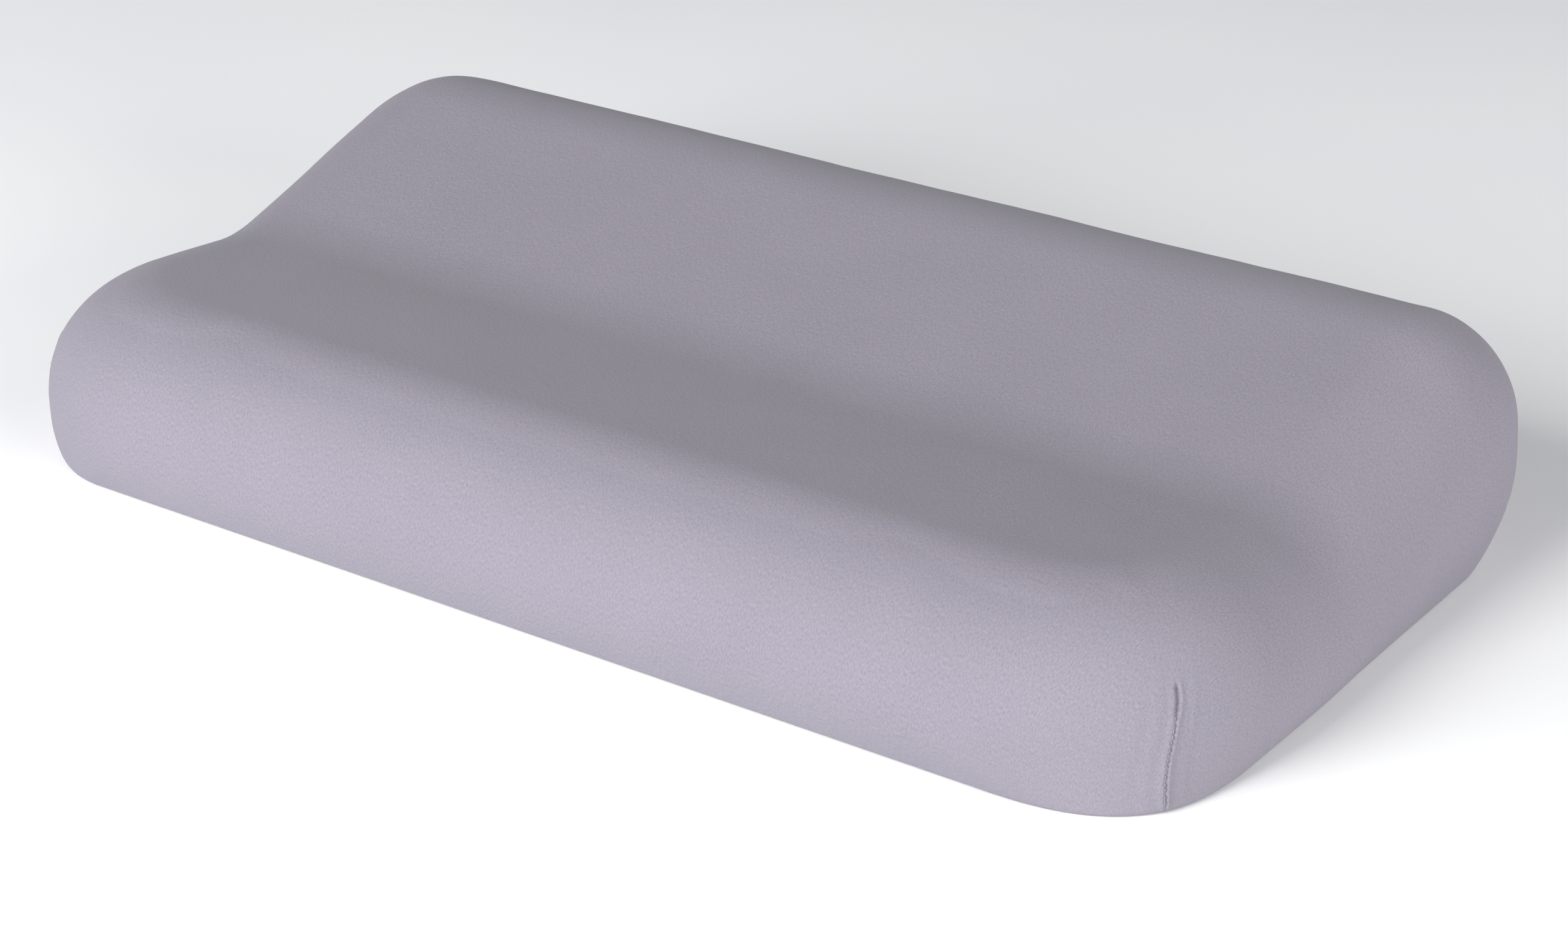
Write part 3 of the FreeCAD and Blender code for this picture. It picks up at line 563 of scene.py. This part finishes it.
def add_darts(skin, points, normals):
    """Moves the points near the four darts in and out."""
    relief = np.zeros(points.shape[:2])
    for x_side, y_side in CORNERS:
        across = dart_frame(x_side, y_side, points)
        ridge_height = DART_RIDGE if (x_side, y_side) == (1, -1) else OTHER_DART_RIDGE
        relief += np.where(across < 60, dart_relief(across, points[..., 2], ridge_height), 0)
    low_edge = smooth_step(points[..., 2] / 3)
    return points + normals * (relief * low_edge)[..., None]


def add_unevenness(points, normals):
    """Slow waves in the cloth, a fraction of a millimetre high."""
    flat = points.reshape(-1, 3)
    wave = [noise.noise(p * 0.018) * 0.5 + noise.noise(p * 0.06) * 0.12 for p in map(Vector, flat)]
    lifted = np.array(wave).reshape(points.shape[:2]) * smooth_step(points[..., 2] / 10)
    return points + normals * lifted[..., None]


# ---------------------------------------------------------------- materials


class Shader:
    """A small helper that builds one procedural material."""

    def __init__(self, name):
        self.material = bpy.data.materials.new(name)
        self.material.use_nodes = True
        self.nodes = self.material.node_tree.nodes
        self.links = self.material.node_tree.links
        self.surface = self.nodes["Principled BSDF"]

    def node(self, kind, inputs=None, **properties):
        """Adds a node; inputs are values or other nodes' outputs by socket name or number."""
        made = self.nodes.new(kind)
        for name, value in properties.items():
            setattr(made, name, value)
        for socket, value in (inputs or {}).items():
            self.feed(made.inputs[socket], value)
        return made

    def feed(self, socket, value):
        """Puts a value or a link into a socket."""
        if isinstance(value, bpy.types.NodeSocket):
            self.links.new(value, socket)
        else:
            socket.default_value = value

    def maths(self, operation, first, second=0.0, third=0.0):
        """Output of a math node."""
        return self.node("ShaderNodeMath", {0: first, 1: second, 2: third}, operation=operation).outputs[0]

    def noise(self, vector, scale, detail=2.0, roughness=0.5):
        """Output of a noise texture, 0 to 1."""
        inputs = {"Vector": vector, "Scale": scale, "Detail": detail, "Roughness": roughness}
        return self.node("ShaderNodeTexNoise", inputs).outputs["Fac"]

    def stretched(self, vector, scale):
        """A vector scaled along each axis."""
        return self.node("ShaderNodeVectorMath", {0: vector, 1: scale}, operation="MULTIPLY").outputs[0]

    def ramp(self, value, *stops):
        """Colour ramp from (place, colour) stops."""
        made = self.node("ShaderNodeValToRGB", {"Fac": value})
        elements = made.color_ramp.elements
        while len(elements) < len(stops):
            elements.new(0.5)
        for element, (place, colour) in zip(elements, stops):
            element.position = place
            element.color = (*colour, 1.0)
        return made.outputs["Color"]

    def set(self, **inputs):
        """Sets inputs of the surface; underscores stand for spaces."""
        for name, value in inputs.items():
            self.feed(self.surface.inputs[name.replace("_", " ")], value)

    def relief(self, heights, distance, strength=1.0):
        """Sends a height in 0 to 1 to the surface's normal; distance is in millimetres."""
        inputs = {"Height": heights, "Distance": distance * MM, "Strength": strength}
        made = self.node("ShaderNodeBump", inputs)
        self.set(Normal=made.outputs["Normal"])

    def place(self):
        """Object coordinates in millimetres."""
        coordinates = self.node("ShaderNodeTexCoord").outputs["Object"]
        return self.stretched(coordinates, (1 / MM,) * 3)

    def fabric(self):
        """Coordinates on the flat cloth, in millimetres."""
        return self.node("ShaderNodeAttribute", attribute_name="fabric").outputs["Vector"]


def split(shader, vector):
    """The x, y and z of a vector."""
    parts = shader.node("ShaderNodeSeparateXYZ", {0: vector})
    return parts.outputs[0], parts.outputs[1], parts.outputs[2]


def jersey_loops(shader, vector, wale, course):
    """Height of a plain knit: columns of V-shaped loops."""
    across, along, _ = split(shader, vector)
    column = shader.maths("PINGPONG", shader.maths("DIVIDE", across, wale), 0.5)
    leg = shader.maths("SINE", shader.maths("MULTIPLY", column, math.pi))
    slant = shader.maths("MULTIPLY", column, 1.1)
    row = shader.maths("ADD", shader.maths("DIVIDE", along, course), slant)
    loop = shader.maths("PINGPONG", row, 0.5)
    rounded = shader.maths("SINE", shader.maths("MULTIPLY", loop, 2 * math.pi * 0.5))
    return shader.maths("ADD", shader.maths("MULTIPLY", leg, 0.6), shader.maths("MULTIPLY", rounded, 0.4))


def knit_material(name, dark, light, wale=0.72, course=0.55):
    """Plain jersey in a melange yarn, matt with a little fuzz."""
    shader = Shader(name)
    laid = shader.fabric()
    yarn = shader.noise(shader.stretched(laid, (1.5, 0.7, 1.0)), 1.0, 3.0, 0.7)
    cloud = shader.noise(laid, 0.02, 2.0, 0.5)
    mixed = shader.maths("MULTIPLY_ADD", cloud, 0.08, shader.maths("MULTIPLY", yarn, 0.92))
    colour = shader.ramp(mixed, (0.3, dark), (0.7, light))
    loops = jersey_loops(shader, laid, wale, course)
    fuzz = shader.noise(laid, 3.5, 2.0, 0.6)
    heights = shader.maths("MULTIPLY_ADD", loops, 0.7, shader.maths("MULTIPLY", fuzz, 0.5))
    shader.relief(heights, 0.16, 0.55)
    rough = shader.maths("MULTIPLY_ADD", fuzz, 0.1, 0.86)
    shader.set(Base_Color=colour, Roughness=rough, Sheen_Weight=0.12, Sheen_Roughness=0.6)
    shader.set(Specular_IOR_Level=0.12)
    return shader.material


def foam_material():
    """Moulded viscoelastic foam: pale, with a fine cell pattern and a faint skin."""
    shader = Shader("moulded_foam")
    place = shader.place()
    cells = shader.node("ShaderNodeTexVoronoi", {"Vector": place, "Scale": 0.9}).outputs["Distance"]
    stain = shader.noise(place, 0.02, 3.0)
    colour = shader.ramp(stain, (0.35, (0.72, 0.66, 0.50)), (0.65, (0.80, 0.75, 0.62)))
    shader.relief(cells, 0.3, 0.5)
    shader.set(Base_Color=colour, Roughness=0.9, Specular_IOR_Level=0.2)
    return shader.material


def tape_material():
    """Woven zip tape with a herringbone of fine threads."""
    shader = Shader("zip_tape_weave")
    place = shader.place()
    across, _, upward = split(shader, place)
    rib = shader.maths("PINGPONG", shader.maths("DIVIDE", upward, 1.6), 0.5)
    lean = shader.maths("MULTIPLY_ADD", rib, 1.8, shader.maths("DIVIDE", across, 0.62))
    thread = shader.maths("SINE", shader.maths("MULTIPLY", shader.maths("PINGPONG", lean, 0.5), math.pi))
    patchy = shader.noise(place, 0.6, 3.0)
    colour = shader.ramp(shader.maths("MULTIPLY_ADD", thread, 0.4, shader.maths("MULTIPLY", patchy, 0.6)),
                         (0.25, (0.12, 0.11, 0.14)), (0.8, (0.24, 0.225, 0.26)))
    shader.relief(thread, 0.14, 0.7)
    shader.set(Base_Color=colour, Roughness=0.75, Specular_IOR_Level=0.25)
    return shader.material


def coil_material():
    """Nylon coil monofilament."""
    shader = Shader("zip_coil_nylon")
    place = shader.place()
    drawn = shader.noise(shader.stretched(place, (0.4, 3.0, 3.0)), 1.0, 2.0)
    colour = shader.ramp(drawn, (0.3, (0.20, 0.19, 0.22)), (0.7, (0.31, 0.30, 0.34)))
    shader.relief(drawn, 0.03, 0.4)
    shader.set(Base_Color=colour, Roughness=shader.maths("MULTIPLY_ADD", drawn, 0.15, 0.3))
    shader.set(Specular_IOR_Level=0.5)
    return shader.material


def metal_material():
    """Nickel-plated zinc: brushed, a little worn and dulled on its faces."""
    shader = Shader("zip_metal_nickel")
    place = shader.place()
    brushed = shader.noise(shader.stretched(place, (0.5, 6.0, 6.0)), 1.0, 3.0)
    handled = shader.noise(place, 0.45, 3.0)
    colour = shader.ramp(handled, (0.3, (0.42, 0.42, 0.43)), (0.75, (0.66, 0.65, 0.64)))
    edge = shader.node("ShaderNodeBevel", {"Radius": 0.35 * MM}, samples=4).outputs["Normal"]
    made = shader.node("ShaderNodeBump", {"Height": brushed, "Distance": 0.02 * MM, "Strength": 0.6,
                                          "Normal": edge})
    shader.set(Base_Color=colour, Metallic=1.0, Normal=made.outputs["Normal"])
    shader.set(Roughness=shader.maths("MULTIPLY_ADD", handled, 0.25, 0.2))
    return shader.material


def thread_material_with_painted_shade():
    """Twisted polyester sewing thread, coloured darker than the cover as painted shade between the
    stitches.
    """
    shader = Shader("sewing_thread_with_painted_shade")
    place = shader.place()
    across, _, upward = split(shader, place)
    turned = shader.maths("MULTIPLY", shader.maths("ADD", across, upward), 3.2)
    twist = shader.maths("PINGPONG", turned, 0.5)
    # Painted shade: the thread's colours are set darker than the cover's so the seams read as rows of
    # shade between the stitches.
    colour = shader.ramp(twist, (0.0, (0.11, 0.10, 0.13)), (0.5, (0.24, 0.22, 0.27)))
    shader.relief(twist, 0.05, 0.8)
    shader.set(Base_Color=colour, Roughness=0.6, Sheen_Weight=0.2)
    return shader.material


def ribbon_material():
    """Blank satin ribbon for the care label."""
    shader = Shader("label_satin")
    place = shader.place()
    across, _, upward = split(shader, place)
    warp = shader.maths("PINGPONG", shader.maths("MULTIPLY", across, 4.0), 0.5)
    weft = shader.maths("PINGPONG", shader.maths("MULTIPLY", upward, 2.6), 0.5)
    weave = shader.maths("MULTIPLY_ADD", warp, 1.2, shader.maths("MULTIPLY", weft, 0.6))
    colour = shader.ramp(weave, (0.1, (0.70, 0.70, 0.69)), (0.8, (0.84, 0.84, 0.83)))
    shader.relief(weave, 0.06, 0.6)
    shader.set(Base_Color=colour, Roughness=0.4, Sheen_Weight=0.15)
    return shader.material


def give(item, material):
    """Puts one material on an object."""
    item.data.materials.clear()
    item.data.materials.append(material)


# ---------------------------------------------------------------- cover, liner and foam


def in_window(centre):
    """True for places behind the zip or on the strip below it."""
    return centre.y > 0 and abs(centre.x) < WINDOW_HALF and centre.z < WINDOW_TOP


BASE_SEAM = 0.8
WINDOW_CUTS = (
    ((0, 0, WINDOW_TOP), (0, 0, 1)),
    ((0, 0, WINDOW_BOTTOM), (0, 0, 1)),
    ((WINDOW_HALF, 0, 0), (1, 0, 0)),
    ((-WINDOW_HALF, 0, 0), (1, 0, 0)),
)
BASE_CUT = (((0, 0, BASE_SEAM), (0, 0, 1)),)


def cover_piece(name, skin, points, wanted, cuts, material):
    """One sewn panel of the cover, cut from the skin and given its thickness."""
    item = mesh_object(name, points, skin.faces(), skin.fabric)
    weld(item)
    keep_faces(item, wanted, cuts)
    thicken(item, FABRIC)
    give(item, material)
    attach(item, "pillow")
    return item


def make_cover(skin, points):
    """The three panels of the cover."""
    knit = knit_material("grey_lilac_knit", (0.141, 0.130, 0.158), (0.220, 0.203, 0.240))
    under = knit_material("grey_lilac_underside", (0.128, 0.117, 0.143), (0.200, 0.184, 0.218), 0.9, 0.7)
    top = cover_piece("cover_body", skin, points, lambda c: c.z > BASE_SEAM and not in_window(c),
                      WINDOW_CUTS + BASE_CUT, knit)
    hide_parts("cover_top")
    base = cover_piece("cover_underside", skin, points, lambda c: c.z < BASE_SEAM, BASE_CUT, under)
    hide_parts("cover_base")
    strip = cover_piece("cover_strip_below_zip", skin, points,
                        lambda c: in_window(c) and BASE_SEAM < c.z < WINDOW_BOTTOM,
                        WINDOW_CUTS + BASE_CUT, knit)
    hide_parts("cover_rear_strip")


LINER_DEPTH = 1.9
LINER_THICKNESS = 0.5
FOAM_DEPTH = 2.8
ZIP_ROOM = 3.2
DART_ROOM = 2.4
LINER_SEAM = 2.4


def sunk(skin, points, depth):
    """The stretched skin's points moved inward, with more room behind the zip and the darts."""
    normals = skin.normals(skin.points)
    room = depth + np.maximum(normals[..., 1], 0) ** 2 * ZIP_ROOM
    for x_side, y_side in CORNERS:
        across = dart_frame(x_side, y_side, skin.points)
        room += DART_ROOM * bump(across, 0, 14) * smooth_step((DART_TOP + 20 - skin.points[..., 2]) / 20)
    return points - normals * room[..., None]


def make_inside(movement):
    """The tricot liner in two panels, and the moulded foam core."""
    skin = Skin(step=4.0, wall_rows=12, rim_rows=24, inner_rows=20)
    points = stretched(skin, movement)
    tricot = knit_material("white_tricot", (0.66, 0.66, 0.65), (0.80, 0.80, 0.79), 0.5, 0.4)
    lining = sunk(skin, points, LINER_DEPTH)
    for name, node, wanted in (("liner_sock", "liner_top", lambda c: c.z > LINER_SEAM),
                               ("liner_underside", "liner_base", lambda c: c.z < LINER_SEAM)):
        item = mesh_object(name, lining, skin.faces(), skin.fabric)
        weld(item)
        keep_faces(item, wanted, (((0, 0, LINER_SEAM), (0, 0, 1)),))
        thicken(item, LINER_THICKNESS)
        give(item, tricot)
        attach(item, "pillow")
        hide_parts(node)
    core = mesh_object("foam_block", sunk(skin, points, FOAM_DEPTH), skin.faces())
    weld(core)
    give(core, foam_material())
    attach(core, "pillow")
    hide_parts("foam_core")


# ---------------------------------------------------------------- stitching


THREAD_RADIUS = 0.24
DART_THREAD_RADIUS = 0.3
ZIP_SEAM_OFFSET = 1.9
FIRST_DART_STITCH = 3.0
DART_STITCH_OFFSET = -0.5


def rear_wall(z):
    """How far back the rear wall stands at height z."""
    return HALF_DEPTH - wall_inset(np.asarray(z, float), WIDEST_HEIGHT, REAR_TUCK, LONG_WALL_LEAN)


def stitch(start, end, lift, radius=THREAD_RADIUS):
    """One stitch: a short thread that rises between two needle holes."""
    start = np.asarray(start, float)
    end = np.asarray(end, float)
    lift = np.asarray(lift, float)
    shares = np.linspace(0, 1, 6)
    path = [start + (end - start) * s + lift * (math.sin(s * math.pi) * 0.55 - 0.2) for s in shares]
    return tube(path, radius)


def zip_stitches():
    """Two rows of stitches that hold the tapes to the cover."""
    parts = []
    for z in (WINDOW_TOP + ZIP_SEAM_OFFSET, WINDOW_BOTTOM - ZIP_SEAM_OFFSET):
        for index in range(int(2 * WINDOW_HALF / STITCH_PITCH)):
            start = -WINDOW_HALF + (index + 0.12) * STITCH_PITCH
            back = float(rear_wall(z))
            ends = [(start, back, z), (start + 0.76 * STITCH_PITCH, back, z)]
            parts.append(stitch(*ends, (0, 0.5, 0)))
    return joined(parts)


def dart_stitches(skin, points, normals):
    """Stitches along the four darts, on the long wall's side of the fold."""
    parts = []
    for x_side, y_side in CORNERS:
        across = dart_frame(x_side, y_side, skin.points)
        for index in range(int((DART_TOP - DART_OPEN) / STITCH_PITCH) + 1):
            ends = []
            for share in (0.14, 0.86):
                z = FIRST_DART_STITCH + (index + share) * STITCH_PITCH
                ends.append(nearest(skin, points, normals, across, z, DART_STITCH_OFFSET))
            (start, out), (end, _) = ends
            parts.append(stitch(start, end, out * 0.9, DART_THREAD_RADIUS))
    return joined(parts)


def nearest(skin, points, normals, across, z, offset):
    """The cover's point at a height and a distance from the dart's line."""
    gap = np.abs(across - offset) + 0.6 * np.abs(skin.points[..., 2] - z)
    row, column = np.unravel_index(np.argmin(gap), gap.shape)
    return points[row, column], normals[row, column]


def make_stitches(skin, points, normals):
    """Thread pieces: dart stitches and the zip's two seams."""
    thread = thread_material_with_painted_shade()
    darts = dart_stitches(skin, points, normals)
    for name, node, shape in (("dart_stitches", "corner_dart_threads", darts),
                              ("zip_seam_stitches", "zip_seam_threads", zip_stitches())):
        item = mesh_object(name, *shape)
        give(item, thread)
        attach(item, "pillow")
        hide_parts(node)


# ---------------------------------------------------------------- zip and label


COIL_PITCH = 1.25
COIL_WIRE = 0.27
POINTS_PER_TURN = 12
LABEL_GAP = 0.5
LABEL_CURL = 1.6
LABEL_WAVE = 0.25
LABEL_THICKNESS = 0.3


def coil_half(node):
    """One half of the coil: a flattened helix of monofilament in the CAD node's space."""
    low, high = node_box(node)
    centre = (low + high) / 2
    reach = (high - low) / 2 - COIL_WIRE
    turns = int((high[0] - low[0]) / COIL_PITCH)
    angle = np.linspace(0, 2 * math.pi * turns, turns * POINTS_PER_TURN + 1)
    x = np.linspace(low[0] + COIL_WIRE, high[0] - COIL_WIRE, len(angle))
    flat = np.sign(np.sin(angle)) * np.abs(np.sin(angle)) ** 0.7
    path = np.column_stack([x, centre[1] + reach[1] * flat, centre[2] + reach[2] * np.cos(angle)])
    return tube(path, COIL_WIRE, 5)


def make_zip():
    """Coil loops, and materials for the tapes, stops, slider and pull tab."""
    nylon = coil_material()
    for name, node in (("coil_loops_upper", "zip_coil_upper"), ("coil_loops_lower", "zip_coil_lower")):
        item = mesh_object(name, *coil_half(node))
        give(item, nylon)
        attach(item, "pillow")
        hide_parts(node)
    tape = tape_material()
    for node in ("zip_tape_upper", "zip_tape_lower"):
        give(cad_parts[node], tape)
    metal = metal_material()
    for node in ("zip_slider", "zip_pull_tab", "zip_bottom_stop", "zip_top_stops"):
        give(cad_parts[node], metal)


def make_label():
    """A blank ribbon sewn to the strip, curling a little away from it at its lower end."""
    low, high = node_box("care_label")
    across = np.linspace(low[0], high[0], 31)
    upward = np.linspace(low[2], high[2], 25)
    x, z = np.meshgrid(across, upward)
    hang = (high[2] - z) / (high[2] - low[2])
    back = rear_wall(z) + LABEL_GAP + LABEL_CURL * hang**3
    back = back + LABEL_WAVE * hang * np.sin((x - low[0]) / 5.2)
    points = np.stack([x, back, z], axis=2)
    rows, columns = x.shape
    faces = [[r * columns + c, (r + 1) * columns + c, (r + 1) * columns + c + 1, r * columns + c + 1]
             for r in range(rows - 1) for c in range(columns - 1)]
    item = mesh_object("blank_care_label", points, faces)
    thicken(item, LABEL_THICKNESS)
    give(item, ribbon_material())
    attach(item, "pillow")
    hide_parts("care_label")


# ---------------------------------------------------------------- stage, light and camera


FLOOR_HALF = 6000.0
FLOOR_CORNERS = ((-1, -1), (1, -1), (1, 1), (-1, 1))
LIGHT_DISTANCE = 2.6
LIGHT_SIZE = 1.6

# Name, azimuth and elevation in degrees, power in watts, colour.
LIGHTS = (
    ("front_low", -10, 10, 50, (0.97, 1.0, 1.06)),
    ("front_high", -15, 30, 78, (1.01, 1.01, 0.98)),
    ("right_low", 75, 8, 84, (1.01, 1.01, 0.98)),
    ("right_rear", 120, 40, 6, (1, 1, 1)),
)


def make_floor():
    """A plain pale floor."""
    shader = Shader("pale_floor")
    cloud = shader.noise(shader.place(), 0.004, 2.0)
    colour = shader.ramp(cloud, (0.3, (0.85, 0.85, 0.86)), (0.7, (0.87, 0.87, 0.87)))
    shader.set(Base_Color=colour, Roughness=0.9, Specular_IOR_Level=0.1)
    corners = [(x_side * FLOOR_HALF, y_side * FLOOR_HALF, 0) for x_side, y_side in FLOOR_CORNERS]
    floor = mesh_object("floor", corners, [[0, 1, 2, 3]])
    floor.location.z = -0.1 * MM
    give(floor, shader.material)


def make_light(name, azimuth, elevation, power, colour):
    """A square soft light that faces the object, at an azimuth and elevation in degrees."""
    data = bpy.data.lights.new(name, "AREA")
    data.size = LIGHT_SIZE
    data.energy = power
    data.color = colour
    lamp = new_object(name, data)
    turn = math.radians(azimuth)
    lift = math.radians(elevation)
    away = Vector((math.sin(turn) * math.cos(lift), -math.cos(turn) * math.cos(lift), math.sin(lift)))
    lamp.location = away * LIGHT_DISTANCE
    lamp.rotation_mode = "QUATERNION"
    lamp.rotation_quaternion = away.to_track_quat("Z", "Y")
    lamp.visible_camera = False


def make_world():
    """Pale studio walls all round that give way to a darker ceiling."""
    world = bpy.data.worlds.new("studio")
    world.use_nodes = True
    nodes = world.node_tree.nodes
    links = world.node_tree.links
    direction = nodes.new("ShaderNodeTexCoord").outputs["Generated"]
    parts = nodes.new("ShaderNodeSeparateXYZ")
    links.new(direction, parts.inputs[0])
    walls = nodes.new("ShaderNodeValToRGB")
    links.new(parts.outputs[2], walls.inputs[0])
    walls.color_ramp.elements[0].position = 0.35
    walls.color_ramp.elements[0].color = (0.92, 0.94, 1.04, 1.0)
    walls.color_ramp.elements[1].position = 0.66
    walls.color_ramp.elements[1].color = (0.05, 0.05, 0.05, 1.0)
    links.new(walls.outputs[0], nodes["Background"].inputs["Color"])
    nodes["Background"].inputs["Strength"].default_value = 1.0
    bpy.context.scene.world = world


def make_lights():
    """Soft studio light, mostly from the front, low on the right."""
    make_world()
    for light in LIGHTS:
        make_light(*light)


CAMERA_AZIMUTH = math.radians(34.81)
CAMERA_ELEVATION = math.radians(23.32)
CAMERA_ROLL = math.radians(0.49)
CAMERA_DISTANCE = 1.5121
CAMERA_TARGET = Vector((0, 0, 0.050))
CAMERA_LENS = 81.18
CAMERA_SHIFT = (0.02174, -0.05477)


def make_camera():
    """The camera at the viewing angle of the reference."""
    data = bpy.data.cameras.new("camera")
    data.sensor_width = 36.0
    data.lens = CAMERA_LENS
    data.shift_x, data.shift_y = CAMERA_SHIFT
    camera = new_object("camera", data)
    flat = math.cos(CAMERA_ELEVATION)
    back = Vector((math.sin(CAMERA_AZIMUTH) * flat, -math.cos(CAMERA_AZIMUTH) * flat,
                   math.sin(CAMERA_ELEVATION)))
    level = Vector((math.cos(CAMERA_AZIMUTH), math.sin(CAMERA_AZIMUTH), 0))
    upright = back.cross(level)
    right = level * math.cos(CAMERA_ROLL) + upright * math.sin(CAMERA_ROLL)
    turned = Matrix((right, back.cross(right), back)).transposed().to_4x4()
    camera.matrix_world = Matrix.Translation(CAMERA_TARGET + back * CAMERA_DISTANCE) @ turned
    bpy.context.scene.camera = camera
    bpy.context.scene.view_settings.view_transform = "Standard"


# ---------------------------------------------------------------- assembly


def zip_hold(points):
    """How far the stiff zip keeps the rear wall in its place: 1 along the zip, 0 away from it."""
    beside = smooth_step((np.abs(points[..., 2] - ZIP_LEVEL) - 16) / 12)
    return (1 - beside) * smooth_step((points[..., 1] - HALF_DEPTH + 35) / 25)


def stretched(skin, movement):
    """The skin's points as the simulated cover lies, with slow unevenness in the cloth."""
    normals = skin.normals(skin.points)
    points = skin.points
    if movement:
        shift = carry(*movement, points.reshape(-1, 3), normals.reshape(-1, 3))
        free = smooth_step((points[..., 2] - 3) / 12) * (1 - zip_hold(points))
        shift = settle(skin, shift)
        shift = np.where(shift > 0, LIFT_SHARE * shift, DRAW_SHARE * shift)
        points = points + normals * (shift * free)[..., None]
    return add_unevenness(points, normals)


def main():
    """Builds every piece, then the stage, lights and camera."""
    skin = Skin()
    normals = skin.normals(skin.points)
    movement = inflate()
    points = add_darts(skin, stretched(skin, movement), normals)
    make_cover(skin, points)
    make_inside(movement)
    make_stitches(skin, points, normals)
    make_zip()
    make_label()
    make_floor()
    make_lights()
    make_camera()


main()
